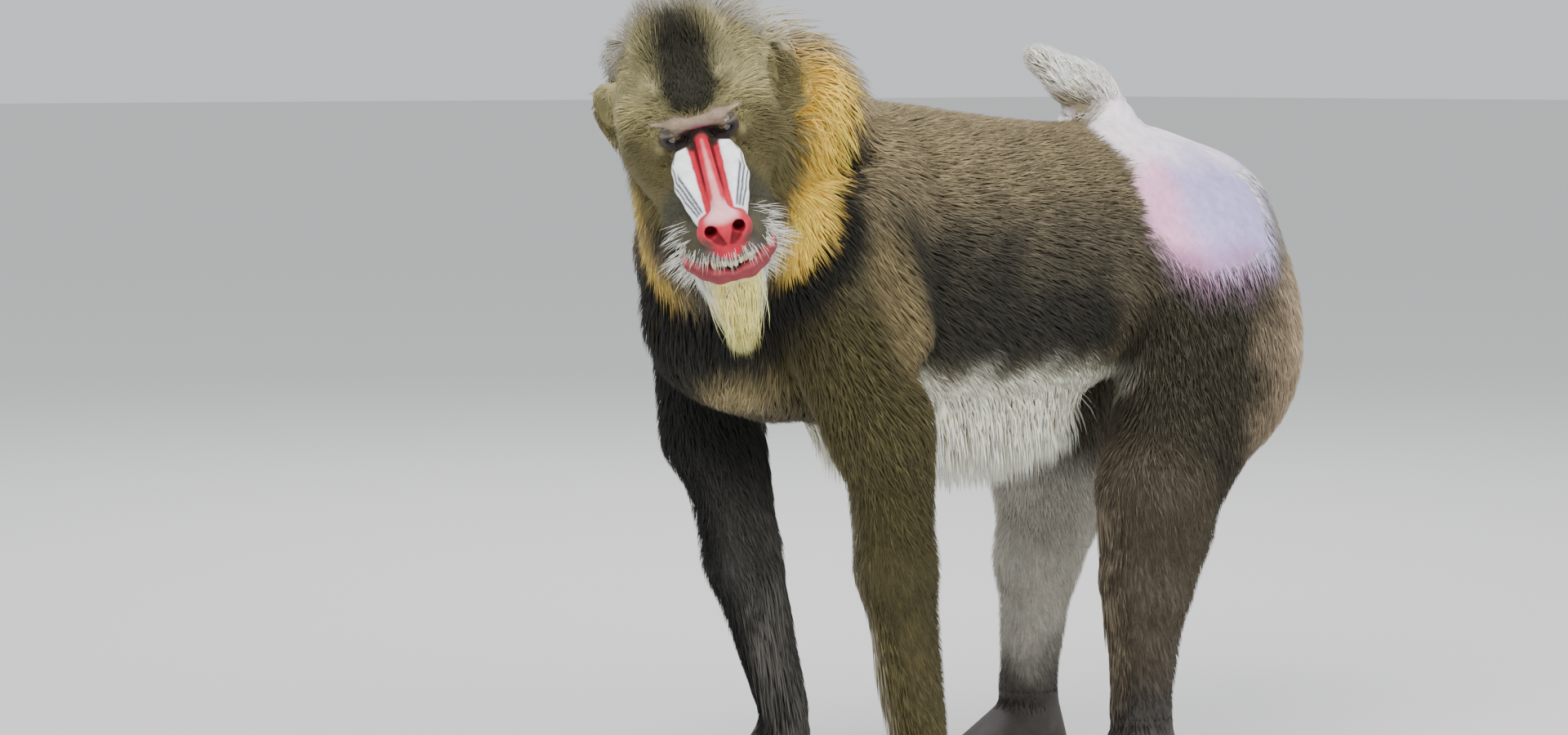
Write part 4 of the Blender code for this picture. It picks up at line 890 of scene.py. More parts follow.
def growth(p, normal, draw):
    """Length and width of a tuft at every root, and how freely it hangs."""
    q, m = head_points(p)
    inside = head_zone(q)
    room = np.maximum(-body(p), 0.0)
    length = 0.013 + 0.009 * step(p[:, 2], 0.10, 0.40) + 1.15 * np.maximum(room - 0.008, 0.0)
    on_head = 0.0045 + 0.10 * np.clip(0.02 - m[:, 0], 0.0, 0.09) + 1.2 * np.maximum(room - 0.003, 0.0)
    on_head = on_head + 0.022 * blob(m, (EAR[0] + 0.022, EAR[1] - 0.010, EAR[2] + 0.008), 0.034)
    whiskers, beard = whisker_share(m), beard_share(m)
    on_head = on_head + (0.016 - on_head) * whiskers
    down = np.clip(np.linalg.norm(p - BEARD_TIP, axis=1) * 0.92, 0.020, 0.080)
    down = down * (1.0 - 0.62 * step(m[:, 1], 0.012, 0.028))
    on_head = on_head + (down - on_head) * beard
    length = length * (1.0 - inside) + on_head * inside
    belly = belly_share(p, normal)
    length = length + 0.040 * belly
    rear = blob(p, (0.0, 0.500, 0.400), 0.130, 0.4) * (1.0 - belly)
    length = length + 0.012 * rear
    length = np.clip(length, 0.004, 0.080)
    width = np.interp(length, (0.004, 0.012, 0.024, 0.066), (0.0007, 0.0011, 0.0016, 0.0026))
    width = width * (0.95 - 0.35 * inside) * (1.0 - 0.42 * beard * inside)
    free = np.maximum(np.maximum(belly, beard * inside), whiskers * inside)
    length = length * draw.uniform(0.75, 1.20, len(p))
    width = width * draw.uniform(0.8, 1.25, len(p))
    return length, width, free, beard * inside


# Markings, shared by the skin and the coat, as tones seen on a screen, with some painted light and shade
# among them
OLIVE = tone(134, 123, 80)
BACK = tone(166, 148, 112)
FLANK = tone(116, 106, 85)
DARK = tone(52, 50, 43)
CREAM = tone(255, 252, 232)
GOLD = tone(255, 212, 92)
STRAW = tone(255, 236, 134)
ASH = tone(186, 180, 166)
BLACK = tone(26, 25, 20)
BROWN = tone(190, 168, 140)
SLATE = tone(202, 196, 184)
HAND_SKIN = tone(60, 55, 52)
CROWN = tone(128, 114, 62)
YELLOW = tone(176, 158, 112)
WHITE = tone(255, 253, 240)
ARM = tone(98, 89, 54)
# Painted shade: the right arm's coat, darkened as if it lay in shade
PAINTED_SHADE_ARM = tone(23, 22, 19)
RED = tone(196, 40, 60)
# Painted highlight along the top of the nose's ridge
RIDGE_HIGHLIGHT = tone(244, 166, 166)
BLUE_WHITE = tone(252, 253, 255)
GROOVE = tone(46, 50, 68)
LID = tone(58, 48, 42)
LIP = tone(196, 84, 92)
MAUVE = tone(98, 85, 80)
LILAC = tone(186, 174, 224)
PINK = tone(244, 178, 212)
VIOLET = tone(172, 120, 158)
PALE = tone(252, 238, 246)
THIGH = tone(68, 62, 48)
SHANK = tone(102, 91, 74)
STREAK = tone(176, 156, 112)
RUFF_TOP = tone(255, 240, 192)
FOREHEAD = tone(204, 193, 140)
MASK = tone(80, 76, 57)
BROW_TONE = tone(176, 148, 134)
BROW_MIDDLE = tone(130, 74, 88)
# Painted highlight on the top of the nose
NOSE_TOP_HIGHLIGHT = tone(244, 178, 184)

# The bands behind the face are measured from here
BAND_MIDDLE = from_head(-0.020, 0.0, -0.030)

# The painted shadow in the forehead's dent between the crest's halves: heights over the eyes, and how far
# it reaches to each side there
HOLLOW_SHADOW = (0.002, 0.010, 0.022, 0.037, 0.054, 0.072), (0.006, 0.017, 0.024, 0.022, 0.014, 0.006)


def coat_tone(p, normal):
    """The coat's markings, with painted shade on the right arm and in the forehead's dent, and painted
    light on the right shank.
    """
    q, m = head_points(p)
    up = normal[:, 2]
    uneven = ripple(p, 0.018)
    high = p[:, 2] + 0.012 * uneven
    colour = mix(FLANK, BACK, step(high, 0.490, 0.570))
    for s in SIDE.values():
        line = (0.115 * s, 0.045, 0.450), (0.110 * s, 0.150, 0.425), (0.100 * s, 0.260, 0.425)
        dark = chain(p, line, (0.042, 0.034, 0.022), 0.02)
        colour = mix(colour, DARK, step(dark + 0.016 * uneven, 0.045, -0.015) * 0.92)
    colour = mix(colour, BROWN, step(p[:, 1], 0.430, 0.500) * step(high, 0.54, 0.48))
    for name, s in SIDE.items():
        near_arm = bone(p, SHOULDER[name], ELBOW[name], 0.056)[0]
        near_fore = bone(p, ELBOW[name], WRIST[name], 0.045)[0]
        inner = step(normal[:, 0] * s, 0.0, -0.7)
        # On the right arm the coat's tone is darkened by painted shade; the left arm keeps its own tone
        arm_tone_and_shade = ARM if s > 0 else PAINTED_SHADE_ARM
        fore = mix(arm_tone_and_shade, SLATE, inner * (0.25 if s > 0 else 0.12) * step(high, 0.34, 0.26))
        on_arm = near_arm**2 * step(p[:, 1], 0.13, 0.08) * step(high, 0.520, 0.430)
        colour = mix(colour, arm_tone_and_shade, on_arm)
        colour = mix(colour, fore, near_fore**2 * step(p[:, 1], 0.2, 0.14))
        near_thigh = bone(p, HIP[name], KNEE[name], 0.078)[0]
        near_shank = bone(p, KNEE[name], ANKLE[name], 0.046)[0]
        thigh = mix(THIGH, BROWN, step(p[:, 1] + 0.02 * uneven, 0.400, 0.480))
        on_thigh = near_thigh**2 * 0.9 * step(high, 0.500, 0.430) * step(p[:, 1], 0.285, 0.330)
        colour = mix(colour, thigh, on_thigh)
        # On the right shank the pale slate tone is painted light; the left shank keeps its own tone
        shank = mix(SLATE if s < 0 else SHANK, HAND_SKIN, step(high, 0.150, 0.080))
        on_shank = near_shank**2 * 0.95 * step(p[:, 1], 0.25, 0.30) * step(high, 0.40, 0.30)
        colour = mix(colour, shank, on_shank)
    belly = step(high, 0.404, 0.376) * step(p[:, 1], 0.020, 0.060) * step(p[:, 1], 0.350, 0.310)
    colour = mix(colour, CREAM, belly * step(trunk(p), 0.022, 0.008) * step(up, 0.45, 0.1))
    colour = mix(colour, CREAM * 0.8, blob(p, (0.0, 0.556, 0.470), 0.070, 0.4))
    near_tail = bone(p, TAIL_MIDDLE, TAIL_TIP, 0.026)[0] * step(p[:, 2], 0.592, 0.602)
    colour = mix(colour, mix(WHITE, SLATE, step(up, -0.1, -0.7)), near_tail)
    # Behind the face come the yellow ruff, a black band, and on top a grey cape
    reach = np.linalg.norm(p - BAND_MIDDLE, axis=1) + 0.004 * uneven
    in_front = step(p[:, 1], 0.060, 0.020) * step(p[:, 2], 0.36, 0.40)
    black = step(reach, 0.124, 0.134) * step(reach, 0.166, 0.150) * step(high, 0.615, 0.590)
    colour = mix(colour, BLACK, black * in_front * 0.94)
    streak = rod(p, (0.120, 0.012, 0.485), (0.120, 0.038, 0.420), 0.012, 0.010)
    colour = mix(colour, STREAK, step(streak, 0.030, -0.004) * 0.75)
    throat = step(high, 0.500, 0.470) * step(high, 0.375, 0.395) * step(p[:, 1], -0.030, -0.065)
    colour = mix(colour, BLACK, throat * 0.96)
    colour = mix(colour, YELLOW, blob(p, (0.040, -0.070, 0.375), 0.038, 0.5) * 0.9)
    gold = step(reach, 0.070, 0.084) * step(reach, 0.136, 0.124)
    gold = gold * step(q[:, 2], 0.010, -0.012) * step(m[:, 1], 0.030, 0.050)
    ruff = mix(GOLD, RUFF_TOP, step(q[:, 2], -0.040, -0.005) * 0.7)
    colour = mix(colour, ruff, gold)
    cape = step(reach, 0.080, 0.092) * step(reach, 0.152, 0.138)
    colour = mix(colour, ASH, cape * step(q[:, 2] + 0.006 * uneven, -0.034, -0.012))
    # Head
    inside = step(reach, 0.088, 0.072) + step(m[:, 0], -0.006, 0.004) * head_zone(q)
    crown = step(reach, 0.122, 0.100) * step(m[:, 0], -0.075, -0.045) * step(q[:, 2], 0.015, 0.035)
    inside = inside + crown
    inside = np.clip(inside + blob(m, (EAR[0], EAR[1] + 0.004, EAR[2]), 0.030), 0.0, 1.0)
    head = mix(OLIVE, FOREHEAD, step(q[:, 2], -0.020, 0.020) * 0.85)
    head = mix(head, MASK, step(m[:, 0], -0.006, 0.024))
    head = mix(head, CROWN, step(q[:, 2], 0.036, 0.056))
    head = mix(head, BROW_TONE, step(chain(m, BROW, BROW_RADII), 0.0060, 0.0010) * 0.6)
    # Painted shadow: the forehead's dent between the crest's halves is coloured black
    wide = np.interp(q[:, 2], *HOLLOW_SHADOW) + 0.002 * uneven
    hollow = step(m[:, 1], wide + 0.009, wide - 0.008)
    hollow = hollow * step(q[:, 2], -0.002, 0.010) * step(q[:, 2], 0.064, 0.044)
    head = mix(head, BLACK, hollow * step(m[:, 0], 0.006, -0.008) * 0.96)
    head = mix(head, BLACK, step(m[:, 0], 0.060, 0.030) * step(q[:, 2], -0.085, -0.100))
    head = mix(head, WHITE, np.maximum(whisker_share(m), beard_share(m)))
    head = mix(head, STRAW, beard_share(m) * step(m[:, 1], 0.026, 0.012) * 0.9)
    colour = mix(colour, head, inside)
    thin = mix(skin_tone(p), WHITE, 0.10 + 0.35 * step(p[:, 2], 0.440, 0.540))
    colour = mix(colour, thin, np.sqrt(rump_share(p)) * step(p[:, 2], 0.37, 0.40))
    return colour * (1.0 + 0.10 * uneven[:, None] + 0.08 * ripple(p, 0.006, 3.0)[:, None])


def skin_tone(p):
    """The markings of bare skin: face, rump, hands and feet, with painted highlights on the nose and
    painted shade in its crease, nostrils and mouth and over the eyes.
    """
    q, m = head_points(p)
    swelling = chain(m, SWELLING, SWELLING_RADII, 0.002)
    start = m[:, 0] - 150.0 * (m[:, 1] - 0.0165) ** 2
    ends = step(start, 0.016, 0.023) * step(m[:, 0], 0.106, 0.098)
    on_swelling = step(swelling, 0.0022, 0.0002) * ends
    face = mix(MAUVE, BLUE_WHITE, on_swelling)
    face = mix(face, GROOVE, grooves(m) * 0.95)
    line = (0.016, 0.0110, -0.0035), (0.046, 0.0086, -0.0050), (0.102, 0.0078, -0.0090)
    inner = chain(m, line, (0.0030, 0.0028, 0.0024), 0.002)
    face = mix(face, RED, step(inner, 0.0010, -0.0002) * step(m[:, 0], 0.012, 0.018))
    ridge = rod(q, (0.006, 0.0, -0.004), (0.106, 0.0, -0.0075), 0.0048, 0.0068)
    face = mix(face, RED, step(ridge, 0.0016, 0.0002) * step(m[:, 0], 0.006, 0.016))
    # Painted shade: dark red in the crease between the ridge and each swelling
    crease = rod(m, (0.014, 0.0058, -0.0040), (0.090, 0.0062, -0.0070), 0.0006, 0.0004)
    face = mix(face, RED * 0.18, step(crease, 0.0014, 0.0001) * step(m[:, 0], 0.092, 0.060))
    # Painted highlight: a pale pink line along the top of the ridge
    light = rod(q, (0.018, 0.0, 0.002), (0.104, 0.0, 0.000), 0.0010, 0.0034)
    face = mix(face, RIDGE_HIGHLIGHT, step(light, 0.0016, -0.0010) * 0.85)
    nose = (
        ball(q, (0.110, 0.0, -0.014), (0.0130, 0.0180, 0.0140)),
        ball(m, (0.1115, 0.0115, -0.0155), (0.0115, 0.0105, 0.0120)),
        ball(q, (0.112, 0.0, -0.025), (0.0120, 0.0120, 0.0120)),
    )
    face = mix(face, RED, step(np.minimum.reduce(nose), 0.0030, 0.0010))
    # Painted highlight: the upward-facing top of the nose made pale pink
    top = step(q[:, 2], -0.0075, -0.0025) * step(m[:, 0], 0.088, 0.100) * step(m[:, 1], 0.017, 0.010)
    face = mix(face, NOSE_TOP_HIGHLIGHT, top * 0.95)
    # Painted shade: the nostrils' hollows coloured nearly black
    for nostril in NOSTRILS:
        face = mix(face, RED * 0.12, step(rod(m, *nostril), 0.0010, -0.0006))
    socket = ball(m, (0.002, EYE_APART + 0.001, -0.001), (0.026, 0.0200, 0.0150))
    in_socket = step(socket, 0.0020, -0.0010)
    face = mix(face, LID, in_socket * (1.0 - on_swelling) * step(ridge, 0.0, 0.0016))
    # Painted shade: the upper lid, deep under the brow, darkened further
    face = mix(face, LID * 0.50, in_socket * step(q[:, 2], 0.0030, 0.0060) * step(m[:, 1], 0.010, 0.016))
    rim = ball(m, (0.010, EYE_APART, -0.0004), (0.0130, 0.0092, 0.0052))
    face = mix(face, LID * 0.30, step(rim, 0.0014, -0.0004))
    brow = mix(LID * 0.8, BROW_MIDDLE, step(m[:, 1], 0.012, 0.005))
    on_brow = step(chain(m, BROW, BROW_RADII), 0.0020, 0.0) * step(m[:, 0], 0.018, 0.010)
    face = mix(face, brow, on_brow)
    # Painted shade: the mouth's opening coloured dark red
    mouth = chain(m, MOUTH, MOUTH_RADII)
    face = mix(face, RED * 0.25, step(mouth, 0.0018, 0.0002))
    face = mix(face, LIP * 0.42, step(chain(m, LOWER_LIP, LOWER_LIP_RADII), 0.0016, 0.0))
    rim = [(ahead, aside, above + 0.0024) for ahead, aside, above in LOWER_LIP]
    face = mix(face, LIP, step(chain(m, rim, (0.0020, 0.0020, 0.0019, 0.0017, 0.0013)), 0.0012, 0.0002))
    colour = mix(HAND_SKIN, face, face_share(p))
    uneven = ripple(p, 0.020, 1.0)
    rump = mix(LILAC, PINK, step(p[:, 1] + 0.014 * uneven, 0.395, 0.345))
    rump = mix(rump, PALE, step(p[:, 2] + 0.012 * uneven, 0.530, 0.565))
    rump = mix(rump, VIOLET, step(p[:, 2] + 0.012 * uneven, 0.482, 0.446))
    colour = mix(colour, rump, rump_share(p) * step(p[:, 2], 0.37, 0.40))
    return colour * (1.0 + 0.06 * ripple(p, 0.009)[:, None])


def marks(p, normal):
    """The skin's markings, darkened under the coat as painted shade."""
    return mix(coat_tone(p, normal) * 0.75, skin_tone(p), hairless(p))


def paint(mesh, colours):
    """Sets the mesh's markings, a colour for every vertex."""
    layer = mesh.color_attributes.new("Markings", "FLOAT_COLOR", "POINT")
    values = np.ones((len(colours), 4), np.float32)
    values[:, :3] = np.clip(colours, 0.0, 1.0)
    layer.data.foreach_set("color", values.ravel())
    mesh.color_attributes.active_color = layer


# Materials
def add(nodes, kind, at, **inputs):
    """A new shader node, with these of its inputs set."""
    node = nodes.new(kind)
    node.location = at
    for name, value in inputs.items():
        node.inputs[name.replace("_", " ")].default_value = value
    return node


def new_material(name, roughness, **fixed):
    """A material, its nodes, its links and its shader, with these of its inputs set."""
    material = bpy.data.materials.new(name)
    material.use_nodes = True
    shader = material.node_tree.nodes["Principled BSDF"]
    shader.inputs["Roughness"].default_value = roughness
    for key, value in fixed.items():
        shader.inputs[key.replace("_", " ")].default_value = value
    return material, material.node_tree.nodes, material.node_tree.links, shader


def marked(name, roughness, size, depth, bump, distance, **fixed):
    """The mesh's own markings, varied by noise of this size, with a fine bump."""
    material, nodes, links, shader = new_material(name, roughness, **fixed)
    marks_node = add(nodes, "ShaderNodeAttribute", (-900, 200))
    marks_node.attribute_name = "Markings"
    place = add(nodes, "ShaderNodeTexCoord", (-1100, -100))
    noise = add(nodes, "ShaderNodeTexNoise", (-900, -50), Scale=1.0 / size, Detail=4.0, Roughness=0.6)
    low, high = 1.0 - depth, 1.0 + depth
    ends = {"From_Min": 0.3, "From_Max": 0.7, "To_Min": low, "To_Max": high}
    spread = add(nodes, "ShaderNodeMapRange", (-700, -50), **ends)
    tint = nodes.new("ShaderNodeVectorMath")
    tint.operation = "SCALE"
    tint.location = (-450, 150)
    links.new(place.outputs["Object"], noise.inputs["Vector"])
    links.new(noise.outputs["Fac"], spread.inputs["Value"])
    links.new(marks_node.outputs["Color"], tint.inputs[0])
    links.new(spread.outputs["Result"], tint.inputs["Scale"])
    links.new(tint.outputs["Vector"], shader.inputs["Base Color"])
    if bump:
        fine = add(nodes, "ShaderNodeTexNoise", (-900, -350), Scale=1.0 / bump, Detail=5.0, Roughness=0.65)
        height = add(nodes, "ShaderNodeBump", (-450, -350), Strength=0.6, Distance=distance)
        links.new(place.outputs["Object"], fine.inputs["Vector"])
        links.new(fine.outputs["Fac"], height.inputs["Height"])
        links.new(height.outputs["Normal"], shader.inputs["Normal"])
    return material


# Tufts
CHARTS = 7
HEAD_CORE = (-0.03, 0.0, -0.04)

# Tufts per square metre: over the body, and what more grow on these places
BODY_TUFTS, HEAD_TUFTS, RUMP_TUFTS = 165000.0, 430000.0, 100000.0
WHISKER_TUFTS, BEARD_TUFTS = 650000.0, 2300000.0

# Kinds of tufts: name, rings along each, and the lengths that it is for
KINDS = (("short", 2, 0.0, 0.021), ("middle", 3, 0.021, 0.034), ("long", 5, 0.034, 1.0))
MOST_TRIANGLES = 195000


def unwrap(points, faces, normals):
    """Where the corners of faces lie on an unwrap of the skin: a chart for each part and way it faces."""
    middle = points[faces].mean(axis=1)
    part = part_of(middle)
    axis = np.abs(normals).argmax(axis=1)
    ahead = np.take_along_axis(normals, axis[:, None], 1)[:, 0] > 0
    chart = (part * 6 + axis * 2 + ahead).astype(int)
    place = np.zeros((len(faces), 3, 2))
    for k in range(3):
        chosen = axis == k
        place[chosen] = points[faces[chosen]][:, :, [(k + 1) % 3, (k + 2) % 3]]
    for number in np.unique(chart):
        chosen = chart == number
        corners = place[chosen]
        low, high = corners.reshape(-1, 2).min(0), corners.reshape(-1, 2).max(0)
        cell = np.array([number % CHARTS, number // CHARTS])
        place[chosen] = (cell + 0.03 + 0.94 * (corners - low) / np.maximum(high - low, 1e-6)) / CHARTS
    return place


PARTS = (
    "head_coat",
    "mane_coat",
    "back_coat",
    "flank_coat",
    "arm_left_coat",
    "arm_right_coat",
    "leg_left_coat",
    "leg_right_coat",
)


def part_of(p):
    """The number of the coat piece that a place belongs to."""
    q = head_points(p)[0]
    part = np.where(p[:, 0] >= 0.0, 2, 3)
    part[p[:, 1] < 0.070] = 1
    part[(p[:, 2] < 0.43) & (p[:, 1] < 0.15) & (np.abs(p[:, 0]) > 0.045)] = 4
    part[(part == 4) & (p[:, 0] < 0.0)] = 5
    part[(p[:, 2] < 0.46) & (p[:, 1] > 0.31)] = 6
    part[(part == 6) & (p[:, 0] < 0.0)] = 7
    part[np.linalg.norm(q - HEAD_CORE, axis=1) < 0.112] = 0
    return part


def crossed(corners):
    """The cross product of two edges of every triangle."""
    return np.cross(corners[:, 1] - corners[:, 0], corners[:, 2] - corners[:, 0])


def places(points, faces, density, draw):
    """Roots spread evenly over the faces, as many per square metre as density says."""
    corners = points[faces]
    area = 0.5 * np.linalg.norm(crossed(corners), axis=1)
    middle = corners.mean(axis=1)
    code = np.zeros(len(faces), np.int64)
    grid = ((middle - middle.min(axis=0)) / 0.004).astype(np.int64)
    for bit in range(9):
        for k in range(3):
            code |= ((grid[:, k] >> bit) & 1) << (3 * bit + k)
    order = np.argsort(code, kind="stable")
    total = np.cumsum((area * density)[order])
    count = int(total[-1])
    shares = (np.arange(count) + draw.random(count)) * total[-1] / count
    picks = order[np.searchsorted(total, shares)]
    a, b = np.sqrt(draw.random(count)), draw.random(count)
    weights = np.stack([1.0 - a, a * (1.0 - b), a * b], axis=1)
    return picks, weights, (corners[picks] * weights[:, :, None]).sum(axis=1)


def tuft_mesh(name, paths, width, across, upward, tints, patch):
    """Closed three-sided tapered tufts along their paths, as one mesh."""
    count, rings = paths.shape[:2]
    widths = np.interp(np.linspace(0.0, 1.0, rings), (0.0, 0.35, 0.75, 1.0), (1.0, 1.0, 0.70, 0.0))
    points = np.empty((count, (rings - 1) * 3 + 1, 3))
    for k in range(rings - 1):
        half = (width * widths[k] * 0.5)[:, None]
        points[:, k * 3] = paths[:, k] - across[:, k] * half
        points[:, k * 3 + 1] = paths[:, k] + across[:, k] * half
        points[:, k * 3 + 2] = paths[:, k] + upward[:, k] * half * 0.75
    points[:, -1] = paths[:, -1]
    faces = [(0, 1, 2)]
    for k in range(rings - 2):
        for i in range(3):
            a, b = k * 3 + i, k * 3 + (i + 1) % 3
            faces += [(a, a + 3, b + 3), (a, b + 3, b)]
    last = (rings - 2) * 3
    for i in range(3):
        faces.append((last + i, (rings - 1) * 3, last + (i + 1) % 3))
    faces = np.array(faces)[:, ::-1]
    size = points.shape[1]
    whole = (np.arange(count)[:, None, None] * size + faces).reshape(-1, 3)
    mesh = mesh_of(name, points.reshape(-1, 3) - ORIGIN, whole)
    share = np.append(np.repeat(np.linspace(0.0, 1.0, rings)[:-1], 3), 1.0)
    root, tip = tints
    colours = root[:, None] * (1.0 - share[None, :, None]) + tip[:, None] * share[None, :, None]
    paint(mesh, colours.reshape(-1, 3))
    around = np.append(np.tile([-0.5, 0.5, 0.0], rings - 1), 0.0)
    spot = patch[:, None] + 0.003 * np.stack([around, share - 0.5], axis=1)[None]
    layer = mesh.uv_layers.new(name="OFBake")
    layer.data.foreach_set("uv", spot.reshape(-1, 2)[whole.ravel()].astype(np.float32).ravel())
    mesh.shade_smooth()
    return new_object(name, mesh)


def tuft_paths(roots, normals, flow, length, rings, lift, free, beard, play):
    """Paths from the roots along the lie, rising from the skin to the outside of the coat."""
    depth = np.maximum(-body(roots), 0.0015)
    goal = roots + (0.0, 0.02, -0.20)
    goal = goal * (1.0 - beard)[:, None] + (BEARD_TIP + play * 0.0045) * beard[:, None]
    sag = np.interp(length, (0.02, 0.06), (0.0, 0.5)) + (0.3 + 0.9 * (length > 0.02)) * free
    paths, ways = [roots - normals * 0.0012], []
    p, up = roots, normals
    outward = normals * (free * (0.30 + 0.45 * (length < 0.02)) * (1.0 - 0.7 * beard))[:, None]
    way = flow * (1.0 - 0.75 * beard)[:, None] + unit(goal - roots) * (0.9 * beard)[:, None]
    way = unit(way + outward + play * 0.05)
    for k in range(1, rings):
        share = k / (rings - 1)
        way = way - ((way * up).sum(1) * (1.0 - free))[:, None] * up
        way = unit(way + unit(goal - p) * (sag * share)[:, None])
        p = p + way * (length / (rings - 1))[:, None]
        up = gradient(body, p)
        wanted = -depth * (1.0 - lift * share ** 0.8)
        off = wanted - body(p)
        off = np.where(off < 0.0, off * (1.0 - free), off)
        p = p + up * np.clip(off, -0.012, 0.012)[:, None]
        paths.append(p)
    paths = np.stack(paths, axis=1)
    for k in range(rings):
        a, b = max(k - 1, 0), min(k + 1, rings - 1)
        ways.append(unit(paths[:, b] - paths[:, a]))
    ways = np.stack(ways, axis=1)
    across = unit(np.cross(ways, normals[:, None]))
    return paths, across, unit(np.cross(across, ways))


def grow_coat(skin, material):
    """Tufts over all the furred skin, a piece for each part of the body."""
    draw = np.random.default_rng(11)
    mesh = skin.data
    points = vertex_points(mesh)
    faces = np.empty(len(mesh.polygons) * 3, np.int32)
    mesh.loops.foreach_get("vertex_index", faces)
    faces = faces.reshape(-1, 3)
    corners = points[faces]
    facing = unit(crossed(corners))
    chart = unwrap(points, faces, facing)
    middle = corners.mean(axis=1)
    q, m = head_points(middle)
    on_head = 1.0 - step(np.linalg.norm(q - HEAD_CORE, axis=1), 0.100, 0.130)
    density = (BODY_TUFTS + HEAD_TUFTS * on_head) * step(hairless(middle), 0.75, 0.35)
    density = density + WHISKER_TUFTS * whisker_share(m)
    density = density + BEARD_TUFTS * beard_share(m) * (head_zone(q) > 0.5)
    density = density * step(face_share(middle), 0.75, 0.35)
    density = density + RUMP_TUFTS * rump_share(middle) * step(middle[:, 2], 0.37, 0.40)
    picks, weights, roots = places(points, faces, density, draw)
    normals = gradient(skin_field, roots)
    patch = (chart[picks] * weights[:, :, None]).sum(axis=1)
    length, width, free, beard = growth(roots, normals, draw)
    keep = draw.random(len(roots)) < np.interp(length, (0.024, 0.050), (1.0, 0.42))
    picks, patch, roots, normals = picks[keep], patch[keep], roots[keep], normals[keep]
    length, width, free, beard = length[keep], width[keep], free[keep], beard[keep]
    flow = lie(roots, normals)
    cross = np.cross(normals, flow)
    flow = unit(flow + cross * draw.normal(0.0, 0.16, len(roots))[:, None])
    colours = coat_tone(roots, normals)
    part = part_of(roots)
    lift = draw.uniform(0.70, 1.02, len(roots))
    bright = draw.random(len(roots)) < 0.3
    light = draw.uniform(1.25, 1.75, len(roots))
    light = np.where(bright, light, draw.uniform(0.75, 1.10, len(roots)))
    pale = step(colours.mean(axis=1), 0.20, 0.50)
    light = (light + (1.10 - light) * 0.6 * pale)[:, None]
    play = draw.normal(0.0, 1.0, (len(roots), 3))
    for number, name in enumerate(PARTS):
        for kind, rings, shortest, longest in KINDS:
            chosen = np.flatnonzero((part == number) & (length >= shortest) & (length < longest))
            most = MOST_TRIANGLES // ((rings - 2) * 6 + 4)
            for i in range(0, len(chosen), most):
                at = chosen[i : i + most]
                shape = roots[at], normals[at], flow[at], length[at]
                hang = lift[at], free[at], beard[at], play[at]
                paths, across, up = tuft_paths(*shape, rings, *hang)
                # Painted shade: each tuft is darker at its root, deep in the coat, less so where the hair
                # hangs free or is pale
                shade = (0.55 + 0.35 * np.maximum(free, pale)[at])[:, None]
                tints = colours[at] * shade, colours[at] * light[at]
                label = name + "_" + kind + ("_%d" % (i // most) if i else "")
                obj = tuft_mesh(label, paths, width[at], across, up, tints, patch[at])
                obj.data.materials.append(material)
                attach(obj, "root")


# Eyes
CORNEA, CORNEA_RISE, EYES_UP = 0.0052, 0.0010, 24.0


def head_matrix(centre):
    """A world matrix in the head's axes at this place."""
    axes = Matrix(HEAD.T.tolist()).to_4x4()
    return Matrix.Translation(Vector(centre - ORIGIN)) @ axes


def eye_material():
    material, nodes, links, shader = new_material("eye", 0.08, Coat_Weight=1.0, Coat_Roughness=0.03)
    place = add(nodes, "ShaderNodeTexCoord", (-1500, 0))
    round_ = nodes.new("ShaderNodeVectorMath")
    round_.operation = "LENGTH"
    flat = nodes.new("ShaderNodeVectorMath")
    flat.operation = "MULTIPLY"
    flat.inputs[1].default_value = (0.0, 1.0, 1.0)
    noise = add(nodes, "ShaderNodeTexNoise", (-1100, -300), Scale=900.0, Detail=3.0)
    ramp = nodes.new("ShaderNodeValToRGB")
    links.new(place.outputs["Object"], flat.inputs[0])
    links.new(flat.outputs["Vector"], round_.inputs[0])
    reach = nodes.new("ShaderNodeMapRange")
    reach.inputs["From Max"].default_value = 0.0105
    links.new(round_.outputs["Value"], reach.inputs["Value"])
    links.new(reach.outputs["Result"], ramp.inputs["Fac"])
    stops = (
        (0.0, (0.004, 0.003, 0.003)),
        (0.15, (0.004, 0.003, 0.003)),
        (0.18, (0.13, 0.080, 0.028)),
        (0.36, (0.20, 0.135, 0.055)),
        (0.43, (0.030, 0.018, 0.010)),
        (0.50, (0.030, 0.022, 0.020)),
        (1.0, (0.050, 0.038, 0.034)),
    )
    while len(ramp.color_ramp.elements) < len(stops):
        ramp.color_ramp.elements.new(0.5)
    for element, (at, colour) in zip(ramp.color_ramp.elements, stops):
        element.position = at
        element.color = (*colour, 1.0)
    blend = nodes.new("ShaderNodeMix")
    blend.data_type = "RGBA"
    blend.blend_type = "MULTIPLY"
    blend.inputs["Factor"].default_value = 0.5
    links.new(place.outputs["Object"], noise.inputs["Vector"])
    links.new(ramp.outputs["Color"], blend.inputs["A"])
    links.new(noise.outputs["Color"], blend.inputs["B"])
    links.new(blend.outputs["Result"], shader.inputs["Base Color"])
    return material


